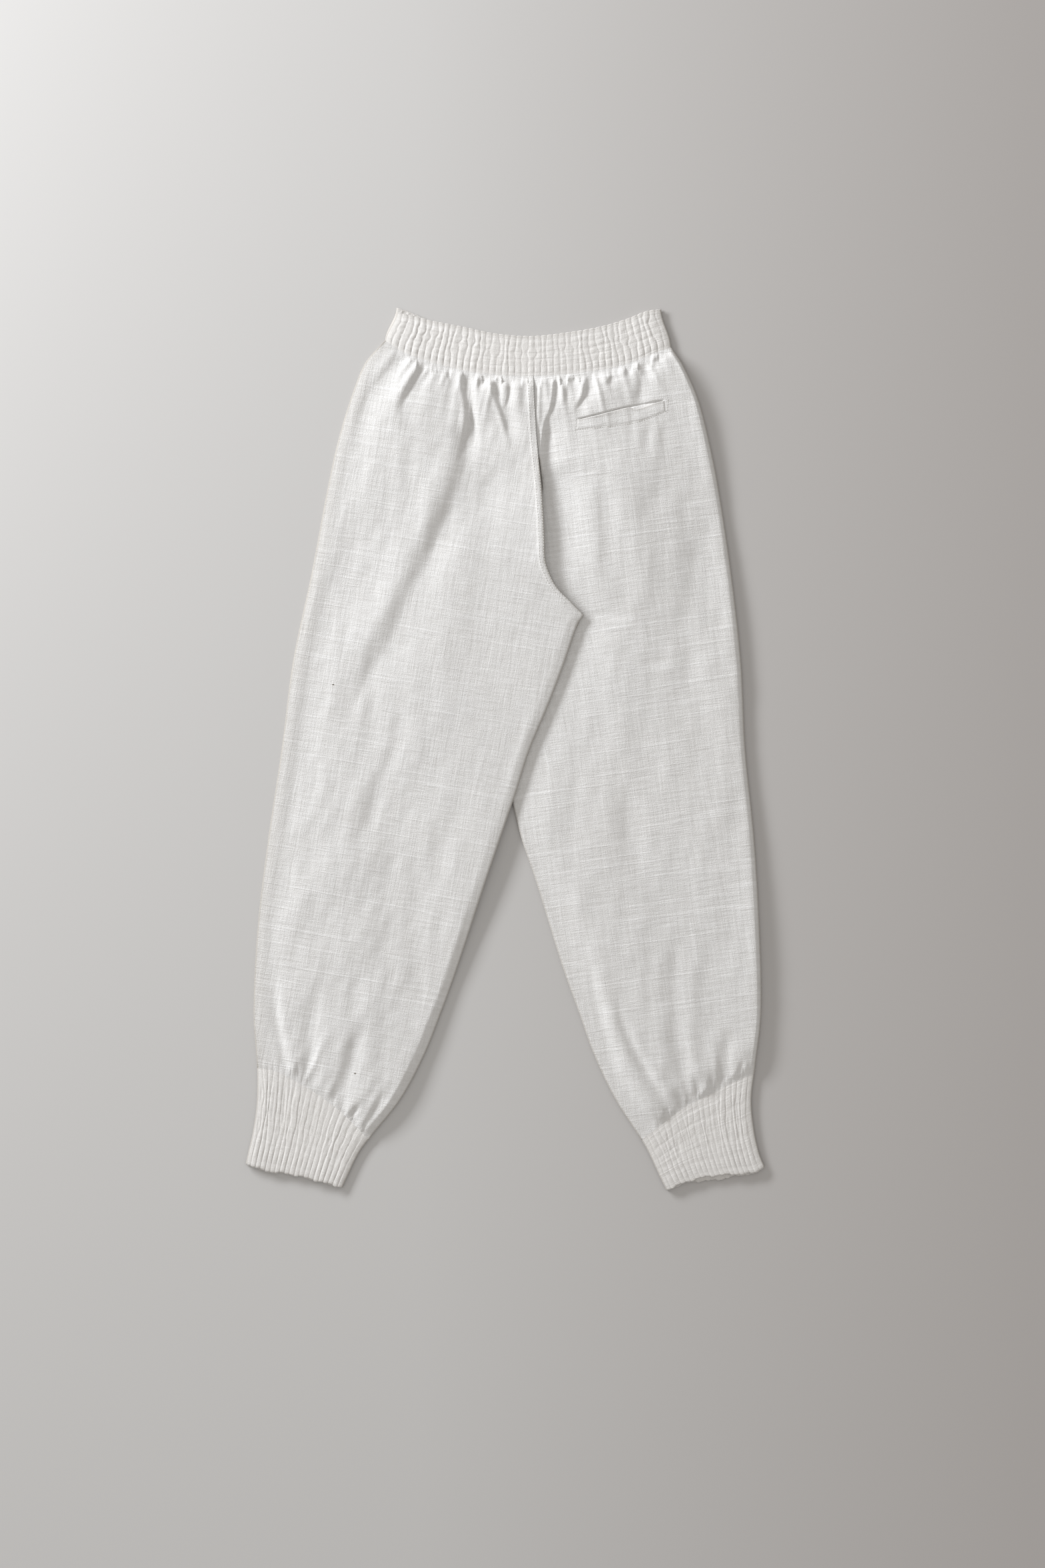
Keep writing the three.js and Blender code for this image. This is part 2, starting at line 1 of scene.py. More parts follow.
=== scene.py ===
import math

import bpy
import numpy as np
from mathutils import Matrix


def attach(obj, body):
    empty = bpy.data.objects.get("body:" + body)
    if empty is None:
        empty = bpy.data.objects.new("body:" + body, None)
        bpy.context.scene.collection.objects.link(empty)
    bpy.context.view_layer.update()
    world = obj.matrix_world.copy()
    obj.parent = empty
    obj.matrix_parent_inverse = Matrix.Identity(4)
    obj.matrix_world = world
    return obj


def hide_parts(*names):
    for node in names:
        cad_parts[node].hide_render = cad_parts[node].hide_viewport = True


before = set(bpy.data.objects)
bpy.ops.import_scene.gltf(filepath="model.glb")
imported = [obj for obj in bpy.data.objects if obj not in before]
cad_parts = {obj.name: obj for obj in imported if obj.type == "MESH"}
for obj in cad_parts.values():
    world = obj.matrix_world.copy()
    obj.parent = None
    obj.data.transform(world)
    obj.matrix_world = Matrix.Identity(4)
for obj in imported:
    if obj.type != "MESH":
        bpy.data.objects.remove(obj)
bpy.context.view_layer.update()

# Millimetres to metres. The tables repeat the sizes of the CAD model in millimetres.
MM = 0.001
CLOTH = 1.6
RIBBED_CLOTH = 1.2
LAYER_GAP = 0.3
# The least that is left of a cloth's thickness at a folded or scalloped edge
LEAST_CLOTH = 0.3

FLOOR_TONE = (0.60, 0.592, 0.582)
FLECK_TONE = (0.16, 0.14, 0.11)
# Brownish tone of the painted shade along the cloth's free edges
EDGE_SHADE_TONE = (0.40, 0.375, 0.34)

# Camera straight above the trousers, as the photograph was taken. Its height is in metres.
VIEW_CENTRE = (19.76, -39.52)
VIEW_HEIGHT = 1787.5
CAMERA_ABOVE = 3.4
CLOTH_MIDDLE = 0.004
# The window light, in metres: low, and beyond the upper left corner of the picture
KEY_PLACE = (-2.6, 1.9, 0.8)
KEY_SIZE = (2.0, 0.42)
KEY_POWER = 168
KEY_TONE = (0.98, 1.0, 1.03)
SKY_TONE = (1.0, 0.972, 0.94, 1)
SKY_STRENGTH = 0.56
# The floor, in metres: half its side, and how far it is under the cloth
FLOOR_REACH = 4
FLOOR_DROP = 0.0002

# y, left, right
SIDE_SEAMS = (
    (468, -135, 186), (459, -144, 189), (440, -160, 202), (400, -176, 220), (350, -191, 233),
    (300, -202, 243), (200, -221, 258), (100, -242, 269), (0, -255, 274), (-100, -270, 284),
    (-200, -282, 290), (-300, -287, 292), (-363, -283, 285), (-400, -283, 281),
    (-434, -287, 284), (-461, -293, 290), (-476, -296, 296),
)
# y, left back, left front, right back, right front
RISE_SEAMS = (
    (428, 32, 32, 32.3, 32.3), (356, 36, 33, 36.3, 33.3), (300, 41.5, 33, 41.8, 33.3),
    (284, 42.6, 33, 39, 33.3), (262, 44, 33, 36, 33.3), (238, 45, 33, 34.6, 33.3),
    (215, 46, 33, 34.4, 33.3), (197, 52, 45, 16, 16), (182, 61, 56, -2, -2),
    (168, 75, 70, -13, -13), (153, 90, 90, -19, -19),
)
# y, left, right
INNER_SEAMS = (
    (153, 90, -19), (143, 83, -20), (100, 68, -18), (50, 49, -12), (0, 28, -3), (-50, 12, 6),
    (-100, -5, 18), (-150, -22, 35), (-250, -55, 66), (-300, -73, 84), (-350, -93, 102),
    (-400, -120, 126), (-445, -156, 155), (-461, -167, 164), (-487, -179, 176), (-503, -186, 184),
)
# x, y
WAIST_TOP = (
    (-124, 504), (-105, 497), (-85, 489), (-50, 482), (-12, 474), (30, 471), (70, 475),
    (110, 482), (140, 491), (160, 499), (178, 502),
)
WAIST_SEAM = (
    (-137, 466), (-118, 454), (-98, 446), (-72, 438), (-40, 431), (-5, 427), (32, 426),
    (80, 429), (118, 434.5), (146, 442), (168, 451), (189, 459),
)
CUFF_SEAMS = {
    "left": (
        (-283, -363), (-262, -367), (-240, -378), (-215, -393), (-190, -411), (-170, -430), (-156, -445),
    ),
    "right": (
        (284, -370), (262, -379), (236, -392), (212, -404), (192, -417), (172, -433), (155, -445),
    ),
}
HEMS = {
    "left": ((-296, -473), (-272, -481), (-249, -484), (-226, -489), (-204, -495), (-186, -500)),
    "right": ((296, -476), (284, -483), (258, -485), (233, -487), (208, -493), (184, -503)),
}
# y, how far the back stands off the front
LOFTS = (
    (470, 3.4), (380, 3.4), (300, 3.0), (200, 2.5), (100, 2.2), (-100, 2.2), (-250, 2.8), (-340, 3.5),
    (-450, 3.5),
)
CROTCH_Y = 153
TUCK_TOP = 330
TUCK_FULL = 304
CROSSING_TOP = 215
CENTRE_BACK_X = 32
SEAM_LOFT = {"waist": 1.5, "cuff": 1.1}
LOFT_RUN = 35
# Run over which a panel climbs to its full loft: gentle on edges to the left, steep on edges to the right
EDGE_RUNS = {"left": 50, "right": 5}
EDGE_ROLLS = {"left": 0.6, "right": 0.3}
INNER_RUNS = {"left": 13, "right": 42}
UNDER_LEFT_RUN = 62
LEAST_LOFT = 0.1
PUFF = 1.0
CENTRE_ROLL = {"height": 1.7, "width": 12}
CROSSING_LIFT = 2 * (CLOTH + LAYER_GAP) + 0.4
FELL = {"width": 7.4, "height": 0.5}
WAIST_RIBS = 44
CUFF_RIBS = 20
RIB_HEIGHTS = {"waist back": 0.8, "waist front": 0.8, "cuff back": 0.75, "cuff front": 0.8}
SEAM_RELIEF = 0.6
HEM_RIPPLE = 0.8
TALLEST_RIB = 1.18
RIB_SHARPNESS = 0.5
SEEDS = {
    "waist": 3, "waist front": 5,
    "left cuff": 7, "left cuff front": 9, "right cuff": 13, "right cuff front": 15,
    "left back": 11, "right back": 23, "left front": 41, "right front": 57,
}
# The share of a panel's length below the waist that holds two sevenths of its mesh's rows
FINE_SHARE = 0.105

# Troughs in the back, each from its seam outwards: its width to the left and right, its depth, whether it
# is free of the seam and fades in at its start, and the places that it runs through. One with a negative
# depth is a ridge.
BACK_FOLDS = {
    "left": (
        (12, 32, 2.9, False, (
            (-41, 352), (-43, 325), (-52, 300), (-88, 209), (-134, 116), (-178, 40), (-212, -40),
        )),
        (8, 5, -2.4, True, ((36, 50), (27, 15), (15, -25), (3, -62), (-4, -88))),
        (3, 12, 2.0, False, ((-48, 433), (-45, 412), (-42, 385), (-45, 350), (-56, 318))),
        (3, 9, 2.0, False, ((-16, 428), (-6, 396), (2, 371), (10, 340))),
        (6, 16, 2.2, False, ((-118, 454), (-134, 430), (-154, 405), (-166, 370), (-174, 320))),
        (5, 11, 2.0, False, ((-89, 444), (-97, 425), (-114, 398), (-122, 370))),
        (16, 30, 2.2, True, ((-12, 345), (-20, 223), (-30, 174), (-38, 100), (-62, 0))),
        (2, 5, 1.2, False, ((-80, 441), (-80, 424))),
        (2, 5, 1.2, False, ((-66, 438), (-61, 416))),
        (2, 6, 1.3, False, ((-28, 430), (-30, 406))),
        (1.8, 5, 0.9, False, ((6, 427), (4, 399), (-3, 382))),
        (9, 34, 2.6, True, (
            (-166, 345), (-174, 280), (-184, 223), (-209, 150), (-228, 50), (-243, -70), (-252, -190),
        )),
        (9, 12, 1.0, True, ((-105, 60), (-150, -60), (-190, -170))),
        (14, 10, 1.0, True, ((-20, 10), (-70, -110), (-110, -220))),
        (6, 5, 1.8, False, ((-251, -366), (-256, -334), (-262, -304), (-264, -250))),
        (9, 8, 1.7, False, ((-223, -387), (-220, -309), (-210, -250))),
        (9, 8, 1.6, False, ((-190, -409), (-171, -343), (-147, -290))),
        (4, 10, 1.5, False, ((-163, -437), (-144, -404), (-132, -380))),
        (4, 3, 1.3, False, ((-179, -422), (-164, -403))),
        (4, 3, 1.2, False, ((-238, -379), (-236, -352))),
    ),
    "right": (
        (2.6, 9, 2.1, False, ((97, 433), (92, 406), (87, 394), (78, 380))),
        (1.8, 6, 1.9, False, ((58, 432), (56, 398), (49, 370))),
        (2.2, 15, 3.0, True, ((53, 392), (47, 365), (44, 330), (44, 285))),
        (2.4, 7, 1.6, False, ((119, 436), (122, 425), (116, 412))),
        (5, 9, 1.6, False, ((158, 449), (157, 420), (154, 396), (151, 382))),
        (6, 9, 0.7, True, ((166, 376), (163, 352), (166, 326))),
        (6, 11, 0.8, True, ((187, 378), (181, 354), (186, 322))),
        (80, 55, -3.6, True, ((132, 400), (142, 320), (150, 220), (160, 90))),
        (26, 30, 1.2, True, ((190, 400), (206, 330), (216, 250), (226, 170), (232, 90))),
        (16, 16, 1.1, True, ((161, 345), (173, 235))),
        (4, 7, 0.9, False, ((37, 427), (38, 395), (41, 377))),
        (4, 8, 1.3, False, ((76, 430), (70, 398), (65, 380))),
        (2.4, 6, 1.1, False, ((139, 441), (141, 422))),
        (3, 7, 1.1, False, ((173, 455), (171, 426))),
        (12, 15, 1.0, True, ((110, 330), (120, 220), (128, 120))),
        (14, 12, 0.9, True, ((200, 180), (222, 40), (228, -80))),
        (12, 12, 0.9, True, ((120, -20), (150, -120), (160, -200))),
        (8, 7, 1.9, False, ((175, -433), (155, -414), (124, -372), (108, -310), (83, -201))),
        (6, 5, 1.7, False, ((194, -416), (161, -368), (135, -314), (128, -270))),
        (10, 9, 1.4, False, ((207, -406), (195, -314), (195, -236), (205, -178))),
        (5, 5, 1.5, False, ((226, -399), (215, -368))),
        (9, 8, 1.9, False, ((248, -386), (253, -345), (256, -310))),
        (3, 3, 1.2, False, ((236, -392), (233, -374))),
        (3, 3, 1.1, False, ((266, -379), (272, -350))),
    ),
}
# Shallow troughs in the front, seen from below
FRONT_FOLDS = {
    "left": (
        (7, 9, 0.8, False, ((-100, 447), (-118, 390), (-140, 300))),
        (5, 6, 0.8, False, ((-58, 434), (-63, 395), (-80, 330))),
        (9, 7, 0.7, False, ((-10, 427), (-16, 360), (-34, 250))),
        (12, 14, 0.6, True, ((-90, 260), (-130, 80), (-160, -60))),
        (7, 6, 0.8, False, ((-248, -374), (-252, -320), (-250, -262))),
        (6, 8, 0.8, False, ((-201, -403), (-186, -350), (-172, -300))),
        (5, 5, 0.7, False, ((-174, -426), (-150, -392), (-136, -360))),
    ),
    "right": (
        (6, 5, 0.8, False, ((66, 428), (64, 380), (60, 320))),
        (8, 9, 0.8, False, ((108, 433), (114, 372), (128, 290))),
        (5, 6, 0.7, False, ((150, 443), (160, 400), (168, 360))),
        (13, 12, 0.6, True, ((150, 200), (190, 60), (200, -70))),
        (6, 6, 0.8, False, ((240, -390), (240, -340), (236, -280))),
        (7, 6, 0.8, False, ((205, -408), (182, -350), (170, -290))),
        (5, 6, 0.7, False, ((168, -436), (145, -396), (130, -350))),
    ),
}
FOLD_SHOULDER = 0.25
# Soft swells of the cloth: length, height and number
SWELLS = ((150, 0.22, 4), (80, 0.14, 5), (38, 0.06, 8), (20, 0.028, 10))
# Puffs between gathers: number, height and reach from the seam
GATHERS = {
    "waist back": (18, 1.4, 40),
    "cuff back": (14, 1.1, 36),
    "waist front": (14, 1.0, 28),
    "cuff front": (11, 1.0, 26),
}
# Degrees that the swells and the grain of each leg lean
SWELL_LEANS = {"left": -12, "right": 9}
GRAIN_LEANS = {"left": -10, "right": 8}
# Dark seed flecks in the weave
FLECKS = ((-196, 73.7), (-171, -369.4))
FLECK_FLATNESS = 1.4
# Metres from thread to thread
THREAD_PITCH = 0.0011
# Metres from stitch to stitch, and a stitch's length and width
SEAM_STITCHES = (0.0032, 0.0024, 0.00055)
WELT_STITCHES = (0.0028, 0.0022, 0.0004)
# Metres of cloth that a cuff layer is cut from: its width and length
CUFF_CUT = (0.18, 0.085)

# The back pocket: its open upper edge and its stitched lower edge
WELT = {
    "upper": ((81, 375), (105, 380.5), (138, 389), (183, 397.5)),
    "lower": ((80, 362.5), (97, 363.5), (138, 368.5), (161, 374.5), (184, 384)),
    "thickness": 0.4,
    "sag": 3.6,
    "length": 104,
    "height": 12,
    "rim": 3.2,
    "sunk": 0.3,
    "under": 0.6,
}
SLIT_WIDTH = 0.9
SLIT_DEPTH = 2.0
# Share and width of the painted shade along a leg's side seam, which only the left leg has
SIDE_SHADE = {"left": (0.2, 26), "right": (0.0, 26)}


def lerp(a, b, share):
    return a + (b - a) * share


def ease(value):
    value = np.clip(value, 0, 1)
    return value * value * (3 - 2 * value)


def through(rows, column=1):
    """A smooth curve through one column of a table, read at places in its first column."""
    rows = sorted(rows)
    at = np.array([row[0] for row in rows], float)
    value = np.array([row[column] for row in rows], float)
    low = np.maximum(np.arange(len(at)) - 1, 0)
    high = np.minimum(np.arange(len(at)) + 1, len(at) - 1)
    slope = (value[high] - value[low]) / (at[high] - at[low])

    def read(place):
        place = np.asarray(place, float)
        i = np.clip(np.searchsorted(at, place) - 1, 0, len(at) - 2)
        run = at[i + 1] - at[i]
        u = np.clip((place - at[i]) / run, 0, 1)
        start = (1 + 2 * u) * (1 - u) ** 2 * value[i] + u * (1 - u) ** 2 * run * slope[i]
        end = u * u * (3 - 2 * u) * value[i + 1] - u * u * (1 - u) * run * slope[i + 1]
        return start + end

    return read


side_seam = {"left": through(SIDE_SEAMS, 1), "right": through(SIDE_SEAMS, 2)}
inner_seam = {"left": through(INNER_SEAMS, 1), "right": through(INNER_SEAMS, 2)}
rise_columns = (("left", "back"), ("left", "front"), ("right", "back"), ("right", "front"))
rise_seam = {edge: through(RISE_SEAMS, i + 1) for i, edge in enumerate(rise_columns)}
waist_top = through(WAIST_TOP)
waist_seam = through(WAIST_SEAM)
cuff_seam = {side: through(rows) for side, rows in CUFF_SEAMS.items()}
hem = {side: through(rows) for side, rows in HEMS.items()}
body_loft = through(LOFTS)


def inner_edge(side, layer, y):
    """The rise seam above the crotch and the inner leg seam below it."""
    return np.where(y >= CROTCH_Y, rise_seam[side, layer](y), inner_seam[side](y))


def smooth_path(path, pieces=5):
    """More points on a smooth curve through a short list of them."""
    points = np.array(path, float)
    place = np.arange(len(points))
    fine = np.linspace(0, len(points) - 1, (len(points) - 1) * pieces + 1)
    return np.stack([through(list(zip(place, points[:, axis])))(fine) for axis in (0, 1)], axis=1)


def from_path(path, x, y):
    """Signed distance from a path, positive to its right in the picture, and the share walked."""
    points = smooth_path(path)
    steps = np.diff(points, axis=0)
    lengths = np.hypot(steps[:, 0], steps[:, 1])
    walked = np.concatenate([[0], np.cumsum(lengths)])
    nearest = np.full(x.shape, np.inf)
    signed = np.zeros(x.shape)
    along = np.zeros(x.shape)
    for i, (step, length) in enumerate(zip(steps, lengths)):
        dx = x - points[i, 0]
        dy = y - points[i, 1]
        share = np.clip((dx * step[0] + dy * step[1]) / length**2, 0, 1)
        distance = np.hypot(dx - share * step[0], dy - share * step[1])
        turn = (step[0] * dy - step[1] * dx) * (-1 if step[1] > 0 else 1)
        closer = distance < nearest
        nearest = np.where(closer, distance, nearest)
        signed = np.where(closer, np.where(turn < 0, -distance, distance), signed)
        along = np.where(closer, (walked[i] + share * length) / walked[-1], along)
    return signed, along


def fold_relief(folds, x, y):
    """Height that a table of folds adds: troughs between two low shoulders."""
    height = np.zeros(x.shape)
    for left_width, right_width, depth, free, path in folds:
        reach = 4 * max(left_width, right_width)
        corners = np.array(path)
        low = corners.min(axis=0) - reach
        high = corners.max(axis=0) + reach
        near = (x > low[0]) & (x < high[0]) & (y > low[1]) & (y < high[1])
        signed, along = from_path(path, x[near], y[near])
        fade_in = ease(along * 3) if free else 1
        strength = depth * fade_in * ease((1 - along) * 2)
        off = signed / np.where(signed < 0, left_width, right_width)
        shoulder = FOLD_SHOULDER * np.exp(-((np.abs(off) - 2) ** 2))
        height[near] += strength * (shoulder - np.exp(-(off**2)))
    return height


def undulation(x, y, seed, lean):
    """Soft swells of the cloth that run down the leg, and a finer crumple, about 0 high on average."""
    random = np.random.default_rng(seed)
    height = np.zeros(x.shape)
    for length, size, count in SWELLS:
        for _ in range(count):
            angle = math.radians(lean + random.normal(0, 26))
            wave = 2 * math.pi / (length * random.uniform(0.75, 1.3))
            across = x * math.cos(angle) + y * math.sin(angle)
            along = y * math.cos(angle) - x * math.sin(angle)
            bend = 0.6 * np.sin(along * wave * 0.31 + random.uniform(0, 6.3))
            height += size * np.sin(across * wave + bend + random.uniform(0, 6.3))
    return height


def crest(phase):
    """A rounded rib with a narrow valley at each whole number."""
    return np.abs(np.sin(math.pi * phase)) ** RIB_SHARPNESS


def on_floor(fade):
    return 0 * fade


def over_front(kind):
    """How high a band's back layer starts: on plain cloth at its ends and on the front's ribs between."""
    on_ribs = RIBBED_CLOTH + TALLEST_RIB * RIB_HEIGHTS[kind] + LAYER_GAP
    return lambda fade: lerp(CLOTH + LAYER_GAP, on_ribs, fade)


def rib_sizes(ribs, seed):
    sizes = np.random.default_rng(seed + 100).uniform(0.72, 1.15, ribs)
    return sizes * lerp(0.72, 1.08, np.abs(np.linspace(-1, 1, ribs)))


def seam_ribs(share, width, ribs, seed, band):
    """Top of a band's ribs where it meets a panel, for shares along the seam, and how far each runs on."""
    phase = np.clip(share, 0, 1) * ribs
    each = np.minimum(np.floor(phase).astype(int), ribs - 1)
    fade = ease(np.minimum(share, 1 - share) * width / 10 + 0.12)
    height = RIB_HEIGHTS[f"{band} back"]
    relief = SEAM_RELIEF * height * crest(phase) * rib_sizes(ribs, seed)[each] * fade
    runs_on = 6 + 12 * np.random.default_rng(seed + 200).uniform(0, 1, ribs)[each]
    return over_front(f"{band} front")(fade) + RIBBED_CLOTH + relief, runs_on


def gathers(share, distance, count, height, reach, seed):
    """Puffs between the gathers under a seam: uneven in width, height and length."""
    random = np.random.default_rng(seed)
    relief = np.zeros(share.shape)
    for k in range(count):
        place = (k + random.uniform(0.15, 0.85)) / count
        width = random.uniform(0.28, 0.5) / count
        tall = height * random.uniform(0.4, 1.3)
        length = reach * random.uniform(0.35, 1.5)
        drift = random.normal(0, 0.25) / count
        off = (share - place - drift * distance / reach) / width
        relief += tall * np.exp(-(off**2)) * np.exp(-((distance / length) ** 1.6))
    return relief


def crossing_share(x, y, run, reach):
    """Share of the full lift that the left leg has where it climbs over the right one."""
    top_edge = rise_seam["right", "front"](CROSSING_TOP) + 1.2 * (y - CROSSING_TOP)
    right_edge = np.where(y > CROSSING_TOP, top_edge, inner_edge("right", "front", y))
    return ease((x - right_edge + reach) / run)


def front_underside(side, x, y):
    return CROSSING_LIFT * crossing_share(x, y, 22, 40) if side == "left" else np.zeros(x.shape)


def inner_openness(side, x, y):
    """0 where a panel's inner edge lies down on the layer below, and 1 where it runs on."""
    left_edge = inner_edge("left", "back", y)
    if side == "left":
        at_edge = lerp(0, lerp(0.4, 1, ease((y - 172) / 75)), ease((y - CROTCH_Y) / 16))
        return lerp(at_edge, 1, ease((left_edge - x) / INNER_RUNS["left"]))
    under_left = ease((x - left_edge - 2) / UNDER_LEFT_RUN)
    upper = lerp(1, under_left, ease((TUCK_TOP - y) / (TUCK_TOP - TUCK_FULL)))
    lower = ease((x - inner_seam["right"](y)) / INNER_RUNS["right"])
    return lerp(upper, lower, ease((-60 - y) / 40))


def joined_to_bands(side, x, y, high):
    """The panel's upper side, led over a short way into the ribs of the waistband and the cuff."""
    waist_width = WAIST_SEAM[-1][0] - WAIST_SEAM[0][0]
    share = (x - WAIST_SEAM[0][0]) / waist_width
    ribs, runs_on = seam_ribs(share, waist_width, WAIST_RIBS, SEEDS["waist"], "waist")
    high = lerp(ribs, high, ease((waist_seam(x) - y) / runs_on))
    first, last = CUFF_SEAMS[side][0][0], CUFF_SEAMS[side][-1][0]
    share = (x - first) / (last - first)
    ribs, runs_on = seam_ribs(share, abs(last - first), CUFF_RIBS, SEEDS[f"{side} cuff"], "cuff")
    return lerp(ribs, high, ease((y - cuff_seam[side](x)) / runs_on))


def welt_sag(share):
    """How far the welt's upper edge hangs down from the slit: most at two thirds of its length."""
    return WELT["sag"] * ease((share - 0.57) / 0.11) * (1 - 0.92 * ease((share - 0.69) / 0.25))


def pocket_slit(x, y):
    """Depth of the slit above the pocket's welt. It is narrower where the welt hangs open."""
    signed, along = from_path(WELT["upper"], x, y)
    above = -signed - 0.4
    open_here = ease(welt_sag(along) / 4)
    reach = np.where(above > 0, SLIT_WIDTH, lerp(1.5, 0.6, open_here))
    ends = ease(along * 14) * ease((1 - along) * 14)
    return SLIT_DEPTH * np.exp(-((above / reach) ** 2)) * ends * (1 - 0.5 * open_here)


def back_underside(side, x, y, share):
    """Lower side of the back's cloth, and the relief that it shares with the upper side."""
    outward = x - side_seam["left"](y) if side == "left" else side_seam["right"](y) - x
    below_waist = waist_seam(x) - y
    above_cuff = y - cuff_seam[side](x)
    from_waist = ease(below_waist / LOFT_RUN)
    from_cuff = ease(above_cuff / LOFT_RUN)
    opened = lerp(SEAM_LOFT["cuff"], lerp(SEAM_LOFT["waist"], body_loft(y), from_waist), from_cuff)
    edges = ease(outward / EDGE_RUNS[side]) * inner_openness(side, x, y)
    folds = fold_relief(BACK_FOLDS[side], x, y)
    folds *= np.minimum(from_waist * 3 + 0.45, 1) * np.minimum(from_cuff * 3 + 0.45, 1)
    seed = SEEDS[f"{side} back"]
    swells = undulation(x, y, seed, SWELL_LEANS[side])
    swells *= 0.35 + 0.65 * ease(below_waist / 60) * ease(above_cuff / 60)
    puffs = gathers(share, np.maximum(below_waist, 0), *GATHERS["waist back"], seed + 1)
    puffs += gathers(share, np.maximum(above_cuff, 0), *GATHERS["cuff back"], seed + 2)
    roll = EDGE_ROLLS[side] * np.exp(-(((outward - 9) / 7) ** 2))
    roll *= ease(below_waist / 50) * ease(above_cuff / 50)
    if side == "left":
        inward = inner_edge("left", "back", y) - x
        along_rise = ease((385 - y) / 60) * ease((y - 150) / 70)
        roll += CENTRE_ROLL["height"] * np.exp(-((inward / CENTRE_ROLL["width"]) ** 2)) * along_rise
    slit = pocket_slit(x, y) if side == "right" else 0
    lift = crossing_share(x, y, 130, 160) if side == "left" else np.zeros(x.shape)
    loft = np.maximum(LEAST_LOFT, opened + PUFF + folds + swells + puffs - 0.5) * edges * (1 - 0.7 * lift)
    loft = np.maximum(loft + roll * ease(outward / 8) - slit, 0)
    low = CLOTH + LAYER_GAP + CROSSING_LIFT * lift + loft
    tucked = (y > CROSSING_TOP - 10) & (y < TUCK_TOP) & (x > inner_edge("left", "back", y) - 24)
    floor = np.where(tucked & (side == "left"), 2 * (CLOTH + LAYER_GAP) + LEAST_LOFT, 0)
    return np.maximum(low, floor)


def grid_shares(columns, rows, edge_columns=(0, 0.6, 1.4, 2.4, 3.8, 5.6), width=250):
    """Shares across and down a panel, with narrower columns beside its two edges."""
    near = np.array(edge_columns) / width
    middle = np.linspace(near[-1], 1 - near[-1], columns + 1 - 2 * (len(near) - 1))
    across = np.concatenate([near[:-1], middle, 1 - near[:-1][::-1]])
    crowded = rows * 2 // 7
    down = np.concatenate([
        np.linspace(0, FINE_SHARE, crowded + 1)[:-1],
        np.linspace(FINE_SHARE, 1, rows - crowded + 1),
    ])
    return np.meshgrid(across, down)


def along_curve(curve, first, last):
    """An edge that follows a curve from one x to another."""

    def edge(share):
        x = lerp(first, last, share)
        return np.array([x, curve(x)])

    return edge


def panel_places(side, layer, s, t):
    """Places of a leg panel in millimetres, for shares s from the side seam and t from the waist."""
    waist_x = WAIST_SEAM[0][0] if side == "left" else WAIST_SEAM[-1][0]
    cuff_outer, cuff_inner = CUFF_SEAMS[side][0][0], CUFF_SEAMS[side][-1][0]

    def outer(share):
        y = lerp(waist_seam(waist_x), cuff_seam[side](cuff_outer), share)
        return np.array([side_seam[side](y), y])

    def inner(share):
        y = lerp(waist_seam(CENTRE_BACK_X), cuff_seam[side](cuff_inner), share)
        return np.array([inner_edge(side, layer, y), y])

    top = along_curve(waist_seam, outer(0)[0], inner(0)[0])
    bottom = along_curve(cuff_seam[side], outer(1)[0], inner(1)[0])
    return patch(outer, inner, top, bottom, s, t)


def patch(outer, inner, top, bottom, s, t):
    """A grid between four edges, blended from the edges and the corners."""
    corners = [np.array(edge(end))[:, None, None] for edge in (top, bottom) for end in (0.0, 1.0)]
    blend = lerp(lerp(corners[0], corners[1], s), lerp(corners[2], corners[3], s), t)
    x, y = lerp(outer(t), inner(t), s) + lerp(top(s), bottom(s), t) - blend
    return x, y


def rounding(distance, radius=4.0):
    """0 at a folded edge and 1 from radius inwards, along a quarter of an ellipse."""
    share = np.clip(distance / radius, 0, 1)
    return np.sqrt(1 - (1 - share) ** 2)


def new_object(name, data):
    made = bpy.data.objects.new(name, data)
    bpy.context.collection.objects.link(made)
    return made


